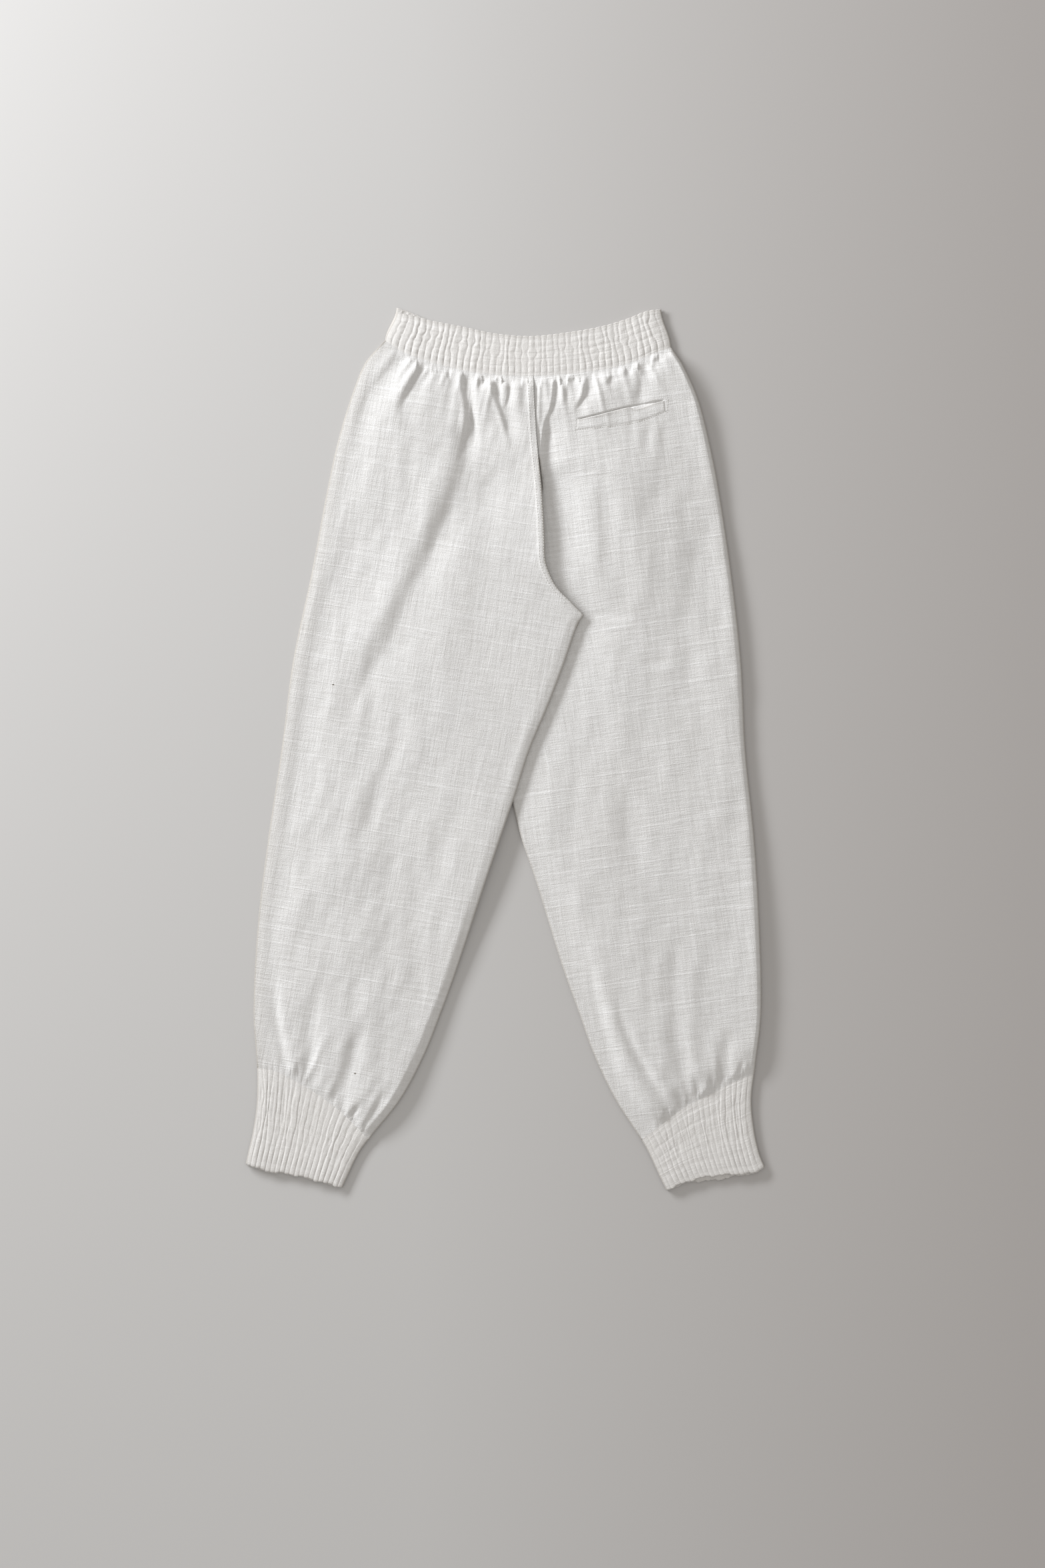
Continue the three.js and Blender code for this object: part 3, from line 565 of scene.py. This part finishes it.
def shell(name, x, y, low, high, uv, material, sewn_rows=(), sewn_above=1000, side_shade=(0.0, 26)):
    """A closed sheet of cloth. Its upper side has all places of the grid, and its lower one every second.
    Rows that are sewn to another piece have a sharp rim. The other edges are round, with painted shade
    along them."""
    rows, columns = x.shape
    top = np.stack([x, y, high], axis=2).reshape(-1, 3)
    bottom = np.stack([x, y, low], axis=2)[::2, ::2].reshape(-1, 3)
    half_columns = (columns + 1) // 2
    upper = np.arange(rows * columns).reshape(rows, columns)
    lower = upper.size + np.arange(len(bottom)).reshape(-1, half_columns)

    def quads(a, b, c, d):
        return np.stack([a, b, c, d], axis=-1).reshape(-1, 4)

    faces = [
        quads(upper[:-1, :-1], upper[1:, :-1], upper[1:, 1:], upper[:-1, 1:]),
        quads(lower[:-1, :-1], lower[:-1, 1:], lower[1:, 1:], lower[1:, :-1]),
    ]
    rims = (
        (upper[0], lower[0], True), (upper[-1], lower[-1], False),
        (upper[:, 0], lower[:, 0], False), (upper[:, -1], lower[:, -1], True),
    )
    corners = []
    for line, below, turned in rims:
        a, b, c = line[:-2:2], line[1:-1:2], line[2::2]
        d, e = below[:-1], below[1:]
        triples = np.concatenate([np.stack(t, axis=-1) for t in ((a, d, b), (b, d, e), (b, e, c))])
        corners.append(triples[:, ::-1] if turned else triples)
    places = np.concatenate([top, bottom]) * MM
    faces = [row for block in faces + corners for row in block.tolist()]
    mesh = bpy.data.meshes.new(name)
    mesh.from_pydata(places.tolist(), [], faces)
    face_up = mesh.polygons[0].normal.z
    if face_up < 0:
        mesh.flip_normals()
    mesh.shade_smooth()
    to_outer = np.hypot(x - x[:, :1], y - y[:, :1])
    to_inner = np.hypot(x - x[:, -1:], y - y[:, -1:]) + 20 * ease((y - sewn_above) / 20)
    to_edge = np.minimum(to_outer, to_inner)
    # Painted shade along free edges, where the cloth turns under: dark within a few millimetres, faint
    # further in
    edge_shade = 0.8 * (1 - ease(to_edge / 2.4)) + 0.12 * (1 - ease(to_edge / 14))
    # Painted shade along the outer side seam
    edge_shade += side_shade[0] * (1 - ease(to_outer / side_shade[1]))
    # Painted shade along the free rows of the welt and the bands
    for row in {0, -1} - set(sewn_rows):
        edge_shade = np.maximum(edge_shade, 0.35 * (1 - ease(np.hypot(x - x[row], y - y[row]) / 5)))
    edge_shade = np.concatenate([edge_shade.ravel(), edge_shade[::2, ::2].ravel()])
    mesh.attributes.new("edge", "FLOAT", "POINT").data.foreach_set("value", edge_shade.astype(np.float32))
    sewn = np.zeros(len(places), bool)
    for row in sewn_rows:
        sewn[upper[row]] = True
        sewn[lower[row]] = True
    ends = np.empty(len(mesh.edges) * 2, np.int32)
    mesh.edges.foreach_get("vertices", ends)
    sharp = sewn[ends.reshape(-1, 2)].all(axis=1)
    mesh.attributes.new("sharp_edge", "BOOLEAN", "EDGE").data.foreach_set("value", sharp)
    flat = np.concatenate([uv.reshape(-1, 2), uv[::2, ::2].reshape(-1, 2)])
    loops = np.empty(len(mesh.loops), np.int32)
    mesh.loops.foreach_get("vertex_index", loops)
    mesh.uv_layers.new(name="grain").data.foreach_set("uv", flat[loops].ravel().astype(np.float32))
    mesh.materials.append(material)
    return new_object(name, mesh)


def grain(side, x, y):
    """Flat metres across and along the grain of a leg, which turns with the leg."""
    angle = math.radians(GRAIN_LEANS[side])
    across = x * math.cos(angle) + y * math.sin(angle)
    along = y * math.cos(angle) - x * math.sin(angle)
    offset = 1.0 if side == "left" else 3.0
    return np.stack([across * MM + offset, along * MM], axis=2)


def leg_width(side, layer, y):
    return np.abs(inner_edge(side, layer, y) - side_seam[side](y))


def back_panel(side, material):
    s, t = grid_shares(176, 396)
    x, y = panel_places(side, "back", s, t)
    low = back_underside(side, x, y, s)
    width = leg_width(side, "back", y)
    high = low + CLOTH
    if side == "left":
        on_fell = ease((FELL["width"] + 0.8 - (1 - s) * width) / 0.8) * ease((y - CROTCH_Y) / 10)
        high += FELL["height"] * on_fell
    free_inner = ease((TUCK_TOP - y) / 30)
    turn = rounding(s * width) * lerp(1, rounding((1 - s) * width), free_inner)
    base = low + 0.1 if side == "right" else np.maximum(low, 0) + 0.1
    high = joined_to_bands(side, x, y, lerp(base + LEAST_CLOTH, high, turn))
    low = np.minimum(low, high - LEAST_CLOTH)
    uv = grain(side, x, y)
    return shell(f"back_{side}_cloth", x, y, low, high, uv, material, (0, -1), TUCK_TOP, SIDE_SHADE[side])


def front_panel(side, material):
    s, t = grid_shares(96, 180)
    x, y = panel_places(side, "front", s, t)
    low = front_underside(side, x, y)
    width = leg_width(side, "front", y)
    high = low + CLOTH
    below_waist = np.maximum(waist_seam(x) - y, 0)
    above_cuff = np.maximum(y - cuff_seam[side](x), 0)
    hollow = -fold_relief(FRONT_FOLDS[side], x, y)
    seed = SEEDS[f"{side} front"]
    hollow += 0.5 * gathers(s, below_waist, *GATHERS["waist front"], seed)
    hollow += 0.5 * gathers(s, above_cuff, *GATHERS["cuff front"], seed + 1)
    free_inner = ease((CROSSING_TOP - y) / 20)
    turn = rounding(s * width) * lerp(1, rounding((1 - s) * width), free_inner)
    hollow = np.clip(hollow, 0, 1.0)
    low = lerp(high - LEAST_CLOTH, low + hollow, turn)
    return shell(f"front_{side}_cloth", x, y, low, high, grain(side, x, y + 2000), material, (0, -1))


def ribbed_band(name, ribs, places, low, height, seed, upside_down, cut, material):
    """A shirred band: uneven, wandering ribs, knotted where rows of elastic thread pinch them."""
    s, t = np.meshgrid(np.linspace(0, 1, ribs * 10 + 1), np.linspace(0, 1, 57))
    random = np.random.default_rng(seed)
    bend = np.zeros(s.shape)
    for _ in range(7):
        bend += 0.11 * np.sin(s * random.uniform(20, 90) + random.uniform(0, 6.3)) * random.uniform(0.4, 1)
    rows = np.linspace(0.1, 0.93, 6) + random.normal(0, 0.006, 6)
    pinch = np.zeros(s.shape)
    wobble = np.zeros(s.shape)
    for k, row in enumerate(rows):
        here = row + 0.012 * np.sin(s * 60 + k)
        pinch += np.exp(-(((t - here) / 0.028) ** 2))
        shift = 0.22 * np.sin(s * random.uniform(90, 150) + random.uniform(0, 6.3))
        wobble += shift * np.exp(-(((t - here) / 0.08) ** 2))
    phase = s * ribs + (bend + wobble) * np.sin(math.pi * np.clip(t * 1.3, 0, 1))
    each = np.floor(phase).astype(int) % ribs
    tall = rib_sizes(ribs, seed)[each]
    knots = 1 - 0.38 * pinch * random.uniform(0.5, 1.2, ribs)[each]
    x, y = places(s, t)
    edge_distance = np.minimum(s, 1 - s) * np.abs(x[:, -1] - x[:, 0])[:, None]
    fade = ease(edge_distance / 10 + 0.12)
    from_top, from_hem = ease(t * 9), ease((1 - t) * 9)
    ends = lerp(0.5 if places.top_free else SEAM_RELIEF, 1, from_top) * lerp(SEAM_RELIEF, 1, from_hem)
    relief = height * crest(phase) * tall * knots * fade * ends
    base = low(fade)
    if upside_down:
        under = base + np.clip(height * 1.1 - relief, 0, height)
        over = under + RIBBED_CLOTH
    else:
        under = base + 0.75 * relief
        over = base + RIBBED_CLOTH + relief
    over = lerp(np.minimum(over, base + RIBBED_CLOTH * 0.6), over, rounding(edge_distance, 3.0))
    scallop = 0.8 * (crest(phase) - 0.5) * fade
    y = y + scallop * np.exp(-((t / 0.05) ** 2)) * places.top_free
    ripple = HEM_RIPPLE * (np.sin(s * 27 + seed) + 0.6 * np.sin(s * 61 + 2 * seed)) * fade
    y = y - (scallop + ripple) * np.exp(-(((1 - t) / 0.06) ** 2)) * places.hem_free
    uv = np.stack([s * cut[0], t * cut[1]], axis=2) + np.array([5.0 + seed, 2.0])
    sewn = (-1,) if places.top_free else (0,)
    return shell(name, x, y, np.minimum(under, over - LEAST_CLOTH), over, uv, material, sewn)


class BandPlaces:
    """Places of a waistband or cuff layer, from shares across and down it."""

    def __init__(self, edges, top_free, hem_free):
        self.edges = edges
        self.top_free = top_free
        self.hem_free = hem_free

    def __call__(self, s, t):
        return patch(*self.edges, s, t)


def waist_places(peek):
    """The waistband from left to right. The front one shows past the back one at the left."""
    top_left, top_right = WAIST_TOP[0][0], WAIST_TOP[-1][0]
    seam_left, seam_right = WAIST_SEAM[0][0], WAIST_SEAM[-1][0]

    def upper(x):
        return waist_top(x) + peek * ease((top_left + 45 - x) / 45)

    def end(top_x, seam_x, t):
        return np.array([lerp(top_x, seam_x, ease(t)), lerp(upper(top_x), waist_seam(seam_x), t)])

    return BandPlaces((
        lambda t: end(top_left, seam_left, t),
        lambda t: end(top_right, seam_right, t),
        along_curve(upper, top_left, top_right),
        along_curve(waist_seam, seam_left, seam_right),
    ), 1, 0)


def cuff_places(side, peek):
    """A cuff from the side seam to the inner leg seam."""
    first, last = CUFF_SEAMS[side][0][0], CUFF_SEAMS[side][-1][0]
    hem_first, hem_last = HEMS[side][0][0], HEMS[side][-1][0]

    def hem_y(x):
        return hem[side](x) - peek * np.exp(-(((x - 238) / 26) ** 2))

    def edge(seam_x, line, end_x, t):
        seam_y = cuff_seam[side](seam_x)
        y = lerp(seam_y, hem_y(end_x), t)
        miss = lerp(line(seam_y) - seam_x, line(hem_y(end_x)) - end_x, t)
        return np.array([line(y) - miss, y])

    return BandPlaces((
        lambda t: edge(first, side_seam[side], hem_first, t),
        lambda t: edge(last, inner_seam[side], hem_last, t),
        along_curve(cuff_seam[side], first, last),
        along_curve(hem_y, hem_first, hem_last),
    ), 0, 1)


def pocket_welt(material):
    """The pocket's welt, lying on the right back. Its upper edge is free and the others are stitched."""
    s, t = np.meshgrid(np.linspace(0, 1, 121), np.linspace(0, 1, 15))
    upper_x = lerp(WELT["upper"][0][0], WELT["upper"][-1][0], s)
    lower_x = lerp(WELT["lower"][0][0], WELT["lower"][-1][0], s)
    x = lerp(upper_x, lower_x, t)
    y = lerp(through(WELT["upper"])(upper_x) - welt_sag(s), through(WELT["lower"])(lower_x), t)
    ground = back_underside("right", x, y, panel_share("right", x, y)) + CLOTH
    settled = ground + pocket_slit(x, y)
    edge = np.minimum(np.minimum(s, 1 - s) * WELT["length"], (1 - t) * WELT["height"])
    puff = (WELT["thickness"] + WELT["sunk"]) * ease(edge / WELT["rim"]) - WELT["sunk"]
    low = settled - WELT["under"]
    high = settled + puff
    return shell("pocket_welt_cloth", x, y, low, high, grain("right", x, y - 700), material)


def panel_share(side, x, y):
    edge = inner_edge(side, "back", y)
    return np.clip((x - side_seam[side](y)) / (edge - side_seam[side](y)), 0, 1)


# Materials


def feed(tree, socket, value):
    """Links an input to another socket, or sets it to a plain value."""
    if isinstance(value, bpy.types.NodeSocket):
        tree.links.new(value, socket)
    else:
        socket.default_value = value


def add_node(tree, kind, **inputs):
    """A node with inputs linked or set. Their names have underscores for spaces."""
    node = tree.nodes.new(kind)
    for name, value in inputs.items():
        feed(tree, node.inputs[name.replace("_", " ")], value)
    return node


def add_group(tree, group, **inputs):
    node = tree.nodes.new("ShaderNodeGroup")
    node.node_tree = group
    for name, value in inputs.items():
        feed(tree, node.inputs[name], value)
    return node


def new_group(name, kind, inputs, outputs):
    """An empty node group with named sockets. An input may have a default value."""
    tree = bpy.data.node_groups.new(name, kind)
    for socket, sort, *value in inputs:
        made = tree.interface.new_socket(socket, in_out="INPUT", socket_type=f"NodeSocket{sort}")
        if value:
            made.default_value = value[0]
    for socket, sort in outputs:
        tree.interface.new_socket(socket, in_out="OUTPUT", socket_type=f"NodeSocket{sort}")
    return tree, tree.nodes.new("NodeGroupInput"), tree.nodes.new("NodeGroupOutput")


def math_node(tree, operation, first, second=None):
    """A Math node whose inputs are sockets or numbers."""
    node = tree.nodes.new("ShaderNodeMath")
    node.operation = operation
    feed(tree, node.inputs[0], first)
    if second is not None:
        feed(tree, node.inputs[1], second)
    return node.outputs[0]


def times(tree, first, second):
    return math_node(tree, "MULTIPLY", first, second)


def plus(tree, first, second):
    return math_node(tree, "ADD", first, second)


def vector_math(tree, operation, first, second):
    node = tree.nodes.new("ShaderNodeVectorMath")
    node.operation = operation
    feed(tree, node.inputs[0], first)
    feed(tree, node.inputs[1], second)
    return node


def noise_node(tree, vector, scale, detail=2.0, roughness=0.5):
    node = add_node(
        tree, "ShaderNodeTexNoise", Scale=scale, Detail=detail, Roughness=roughness, Vector=vector,
    )
    return node.outputs["Fac"]


def woven_cotton_group():
    """Hand-woven cotton: uneven threads both ways, thick slubs and a little fuzz."""
    tree, given, made = new_group(
        "woven cotton", "ShaderNodeTree",
        (("Grain", "Vector"), ("Thread", "Float", THREAD_PITCH), ("Slub", "Float", 1.0)),
        (("Height", "Float"), ("Tone", "Float")),
    )
    split = add_node(tree, "ShaderNodeSeparateXYZ", Vector=given.outputs["Grain"])
    u, v = split.outputs["X"], split.outputs["Y"]

    def streaks(across, along, detail=2.0, roughness=0.5):
        """Noise with its own scale across and along the grain."""
        place = add_node(tree, "ShaderNodeCombineXYZ", X=times(tree, u, across), Y=times(tree, v, along))
        return noise_node(tree, place.outputs[0], 1.0, detail, roughness)

    wander_u = times(tree, streaks(60, 260), 0.0035)
    wander_v = times(tree, streaks(200, 50), 0.0035)
    turn = math_node(tree, "DIVIDE", 2 * math.pi, given.outputs["Thread"])
    warp = math_node(tree, "SINE", times(tree, plus(tree, u, wander_u), turn))
    weft = math_node(tree, "SINE", times(tree, plus(tree, v, wander_v), turn))
    slub = times(tree, times(tree, warp, weft), 0.07)
    for part, share in (
        (streaks(30, 700, 3.0, 0.65), 0.8),
        (streaks(700, 24, 2.0, 0.6), 0.5),
        (streaks(34, 240, 3.0, 0.65), 1.1),
        (streaks(210, 24, 2.0, 0.55), 0.75),
    ):
        slub = plus(tree, slub, times(tree, math_node(tree, "SUBTRACT", part, 0.5), share))
    bars = add_node(tree, "ShaderNodeMapRange", Value=streaks(4.5, 190, 1.0), From_Min=0.60, From_Max=0.68)
    bars.interpolation_type = "SMOOTHSTEP"
    slub = plus(tree, slub, times(tree, bars.outputs[0], 0.24))
    slub = times(tree, slub, given.outputs["Slub"])
    fuzz = math_node(tree, "SUBTRACT", noise_node(tree, given.outputs["Grain"], 750.0, 3.0, 0.7), 0.5)
    height = plus(tree, slub, times(tree, fuzz, 0.9))
    feed(tree, made.inputs["Height"], plus(tree, height, 0.5))
    tone = plus(tree, times(tree, slub, 0.8), fuzz)
    feed(tree, made.inputs["Tone"], plus(tree, tone, 0.5))
    return tree


def mottle_group():
    """Broad, faint unevenness in the colour of washed cotton."""
    tree, given, made = new_group(
        "mottle", "ShaderNodeTree", (("Grain", "Vector"),), (("Tone", "Float"),),
    )
    broad = noise_node(tree, given.outputs["Grain"], 7.0, 3.0)
    fine = noise_node(tree, given.outputs["Grain"], 60.0, 2.0)
    feed(tree, made.inputs["Tone"], plus(tree, times(tree, broad, 0.6), times(tree, fine, 0.4)))
    return tree


def fleck_group():
    """A small dark seed fleck in the weave, round a place on the ground plan."""
    tree, given, made = new_group(
        "fleck", "ShaderNodeTree", (("Place", "Vector"),), (("Mask", "Float"),),
    )
    place = tree.nodes.new("ShaderNodeTexCoord")
    level = vector_math(tree, "MULTIPLY", place.outputs["Object"], (1, FLECK_FLATNESS, 0))
    apart = vector_math(tree, "DISTANCE", level.outputs[0], given.outputs["Place"])
    fade = add_node(
        tree, "ShaderNodeMapRange", Value=apart.outputs["Value"], From_Min=0.0015, From_Max=0.0008,
    )
    feed(tree, made.inputs["Mask"], fade.outputs[0])
    return tree


WOVEN = woven_cotton_group()
MOTTLE = mottle_group()
FLECK = fleck_group()


def colour_mix(tree, factor, first, second):
    """A Mix node between two colours, each a tuple or a socket."""
    node = tree.nodes.new("ShaderNodeMix")
    node.data_type = "RGBA"
    feed(tree, node.inputs[0], factor)
    for socket, value in zip(node.inputs[6:8], (first, second)):
        feed(tree, socket, (*value, 1) if isinstance(value, tuple) else value)
    return node.outputs[2]


def new_material(name, roughness, specular=0.5):
    """A plain material, its node tree and its shader."""
    material = bpy.data.materials.new(name)
    material.use_nodes = True
    surface = material.node_tree.nodes["Principled BSDF"]
    surface.inputs["Roughness"].default_value = roughness
    surface.inputs["Specular IOR Level"].default_value = specular
    return material, material.node_tree, surface


def finish_material(tree, surface, colour, height, distance, strength=1.0):
    relief = add_node(tree, "ShaderNodeBump", Strength=strength, Distance=distance, Height=height)
    feed(tree, surface.inputs["Base Color"], colour)
    feed(tree, surface.inputs["Normal"], relief.outputs[0])


def cotton(name, dark, light, warm, slub=1.0, bump=0.5):
    """Off-white hand-woven cotton, on the piece's own grain map."""
    material, tree, surface = new_material(name, 0.92, 0.18)
    surface.inputs["Sheen Weight"].default_value = 0.12
    surface.inputs["Sheen Roughness"].default_value = 0.6
    grain_map = tree.nodes.new("ShaderNodeUVMap")
    grain_map.uv_map = "grain"
    weave = add_group(tree, WOVEN, Grain=grain_map.outputs[0], Slub=slub)
    mottle = add_group(tree, MOTTLE, Grain=grain_map.outputs[0])
    woven = colour_mix(tree, weave.outputs["Tone"], dark, light)
    tinted = colour_mix(tree, times(tree, mottle.outputs["Tone"], 0.5), woven, warm)
    for x, y in FLECKS:
        fleck = add_group(tree, FLECK, Place=(x * MM, y * FLECK_FLATNESS * MM, 0))
        tinted = colour_mix(tree, fleck.outputs["Mask"], tinted, FLECK_TONE)
    # Painted shade along the free edges, read from the edge attribute
    edge = tree.nodes.new("ShaderNodeAttribute")
    edge.attribute_name = "edge"
    tinted = colour_mix(tree, edge.outputs["Fac"], tinted, EDGE_SHADE_TONE)
    finish_material(tree, surface, tinted, weave.outputs["Height"], 0.0011, bump)
    return material


def thread_material():
    """Spun cotton sewing thread, a little whiter than the cloth."""
    material, tree, surface = new_material("cotton sewing thread", 0.7)
    place = tree.nodes.new("ShaderNodeTexCoord")
    twist = noise_node(tree, place.outputs["Object"], 2600.0, 2.0)
    spun = colour_mix(tree, twist, (0.62, 0.60, 0.57), (0.78, 0.77, 0.74))
    finish_material(tree, surface, spun, twist, 0.0001)
    return material


def floor_material():
    """Plain pale grey paper, with painted shade that darkens it a little to the right, where the window
    light falls off.
    """
    material, tree, surface = new_material("pale paper floor", 0.95, 0.1)
    place = tree.nodes.new("ShaderNodeTexCoord")
    split = add_node(tree, "ShaderNodeSeparateXYZ", Vector=place.outputs["Object"])
    # Painted shade: the floor's colour darkens towards the right, standing in for the falloff of the
    # window light.
    ramp = add_node(tree, "ShaderNodeMapRange", Value=split.outputs["X"], From_Min=-0.1, From_Max=0.6)
    darker = tuple(channel * share for channel, share in zip(FLOOR_TONE, (0.80, 0.775, 0.765)))
    feed(tree, surface.inputs["Base Color"], colour_mix(tree, ramp.outputs[0], FLOOR_TONE, darker))
    return material


# Stitches


def stitch_tree():
    """Short raised stitches along every edge of the given mesh."""
    tree, given, made = new_group(
        "row of stitches", "GeometryNodeTree",
        (
            ("Line", "Geometry"), ("Pitch", "Float"), ("Length", "Float"), ("Width", "Float"),
            ("Thread", "Material"),
        ),
        (("Stitches", "Geometry"),),
    )
    width = given.outputs["Width"]
    curve = add_node(tree, "GeometryNodeMeshToCurve", Mesh=given.outputs["Line"])
    spaced = add_node(tree, "GeometryNodeResampleCurve", Curve=curve.outputs[0])
    spaced.mode = "LENGTH"
    feed(tree, spaced.inputs["Length"], given.outputs["Pitch"])
    bead = add_node(tree, "GeometryNodeMeshUVSphere", Segments=6, Rings=5, Radius=0.5)
    size = add_node(tree, "ShaderNodeCombineXYZ", X=given.outputs["Length"], Y=width, Z=width)
    tangent = tree.nodes.new("GeometryNodeInputTangent")
    turn = add_node(tree, "FunctionNodeAlignRotationToVector", Vector=tangent.outputs[0])
    turn.axis = "X"
    placed = add_node(
        tree, "GeometryNodeInstanceOnPoints", Points=spaced.outputs[0], Instance=bead.outputs["Mesh"],
        Rotation=turn.outputs[0], Scale=size.outputs[0],
    )
    whole = add_node(tree, "GeometryNodeRealizeInstances", Geometry=placed.outputs[0])
    painted = add_node(
        tree, "GeometryNodeSetMaterial", Geometry=whole.outputs[0], Material=given.outputs["Thread"],
    )
    feed(tree, made.inputs["Stitches"], painted.outputs[0])
    return tree


STITCH_ROW = stitch_tree()


def stitched(name, lines, sizes, material):
    """Rows of stitches along lines of places in metres, made as one plain mesh."""
    places = [place for line in lines for place in line]
    edges, start = [], 0
    for line in lines:
        edges += [(start + i, start + i + 1) for i in range(len(line) - 1)]
        start += len(line)
    mesh = bpy.data.meshes.new(f"{name}_lines")
    mesh.from_pydata(places, edges, [])
    source = new_object(f"{name}_lines", mesh)
    modifier = source.modifiers.new("stitches", "NODES")
    modifier.node_group = STITCH_ROW
    sockets = STITCH_ROW.interface.items_tree
    named = {item.name: item.identifier for item in sockets if item.in_out == "INPUT"}
    for socket, value in zip(("Pitch", "Length", "Width", "Thread"), (*sizes, material)):
        modifier[named[socket]] = value
    source.update_tag()
    graph = bpy.context.evaluated_depsgraph_get()
    result = bpy.data.meshes.new_from_object(source.evaluated_get(graph), depsgraph=graph)
    result.shade_smooth()
    bpy.data.objects.remove(source)
    bpy.data.meshes.remove(mesh)
    return new_object(name, result)


def on_back(side, path, above):
    """Places in metres on a back panel, along a path in millimetres."""
    points = np.array(path, float)
    x, y = points[:, :1], points[:, 1:]
    high = back_underside(side, x, y, panel_share(side, x, y)) + CLOTH + above
    return (np.concatenate([x, y, high], axis=1) * MM).tolist()


def centre_back_line(inset):
    """A line beside the centre back seam, on the left back."""
    y = np.linspace(424, 168, 130)
    return np.stack([rise_seam["left", "back"](y) - inset, y], axis=1)


def welt_stitch_line(inset):
    """The line of stitches just above the welt's lower edge."""
    x = np.linspace(82, 182, 90)
    return np.stack([x, through(WELT["lower"])(x) + inset], axis=1)


# Camera, light and floor

camera_data = bpy.data.cameras.new("camera")
camera_data.sensor_fit = "VERTICAL"
camera_data.angle = 2 * math.atan(VIEW_HEIGHT * MM / 2 / (CAMERA_ABOVE - CLOTH_MIDDLE))
camera = new_object("camera", camera_data)
camera.location = (VIEW_CENTRE[0] * MM, VIEW_CENTRE[1] * MM, CAMERA_ABOVE)
bpy.context.scene.camera = camera
bpy.context.scene.view_settings.view_transform = "Standard"

key_data = bpy.data.lights.new("soft window light", "AREA")
key_data.shape = "RECTANGLE"
key_data.size, key_data.size_y = KEY_SIZE
key_data.energy = KEY_POWER
key_data.color = KEY_TONE
key = new_object("soft window light", key_data)
key.location = KEY_PLACE
key_x, key_y, key_z = KEY_PLACE
key_drop = math.atan2(key_z, math.hypot(key_x, key_y))
key.rotation_euler = (math.radians(90) - key_drop, 0, math.atan2(-key_x, key_y) + math.pi)

sky = bpy.data.worlds.new("studio")
sky.use_nodes = True
sky_inputs = sky.node_tree.nodes["Background"].inputs
sky_inputs["Color"].default_value = SKY_TONE
sky_inputs["Strength"].default_value = SKY_STRENGTH
bpy.context.scene.world = sky

floor_mesh = bpy.data.meshes.new("floor")
floor_corners = ((-1, -1), (1, -1), (1, 1), (-1, 1))
floor_places = [(x * FLOOR_REACH, y * FLOOR_REACH, -FLOOR_DROP) for x, y in floor_corners]
floor_mesh.from_pydata(floor_places, [], [(0, 1, 2, 3)])
floor_mesh.materials.append(floor_material())
floor_sheet = new_object("floor", floor_mesh)

# The trousers

panel_cotton = cotton(
    "hand-woven cotton",
    dark=(0.60, 0.59, 0.575), light=(0.86, 0.86, 0.86), warm=(0.80, 0.785, 0.76),
)
band_cotton = cotton(
    "shirred cotton",
    dark=(0.62, 0.605, 0.585), light=(0.88, 0.87, 0.855), warm=(0.81, 0.785, 0.755), slub=0.8, bump=0.4,
)
sewing_thread = thread_material()

# piece, its CAD node, slot, cut width and length, cut area, how it is held
cloth = []
for side in ("left", "right"):
    cloth.append((back_panel(side, panel_cotton), f"back_{side}", "cloth", (0.36, 0.93), 0.262, "laid"))
    cloth.append((front_panel(side, panel_cotton), f"front_{side}", "cloth", (0.34, 0.93), 0.248, "laid"))

# band, its name in SEEDS, its ribs, its cut width and length, and the places of its back and its front
bands = (
    ("waistband", "waist", WAIST_RIBS, (0.45, 0.045), waist_places(-5), waist_places(0)),
    ("cuff_left", "left cuff", CUFF_RIBS, CUFF_CUT, cuff_places("left", 0), cuff_places("left", 0)),
    ("cuff_right", "right cuff", CUFF_RIBS, CUFF_CUT, cuff_places("right", 0), cuff_places("right", 5)),
)
for band, seeded, ribs, cut, back_places, front_places in bands:
    kind = seeded.split()[-1]
    for layer, places, low, seed in (
        ("back", back_places, over_front(f"{kind} front"), SEEDS[seeded]),
        ("front", front_places, on_floor, SEEDS[f"{seeded} front"]),
    ):
        height = RIB_HEIGHTS[f"{kind} {layer}"]
        name = f"{band}_{layer}_cloth"
        piece = ribbed_band(name, ribs, places, low, height, seed, layer == "front", cut, band_cotton)
        cloth.append((piece, f"{band}_{layer}", "shirred_cloth", cut, None, "gathered"))
cloth.append((pocket_welt(panel_cotton), "pocket_welt", "cloth", (0.105, 0.0205), 0.00165, "laid"))

seam_stitches = stitched("centre_back_stitches", [
    on_back("left", centre_back_line(1.2), 0.5),
    on_back("left", centre_back_line(6.6), 0.5),
], SEAM_STITCHES, sewing_thread)
pocket_stitches = stitched("pocket_stitches", [
    on_back("right", welt_stitch_line(1.6), 0.1),
    on_back("right", np.linspace((184, 384), (185.5, 398), 12), 0.05),
    on_back("right", np.linspace((80, 364.5), (80.6, 375.5), 12), 0.05),
], WELT_STITCHES, sewing_thread)

for piece, node, slot, cut, area, held in cloth:
    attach(piece, "root")
    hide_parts(node)
for piece in (seam_stitches, pocket_stitches):
    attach(piece, "root")
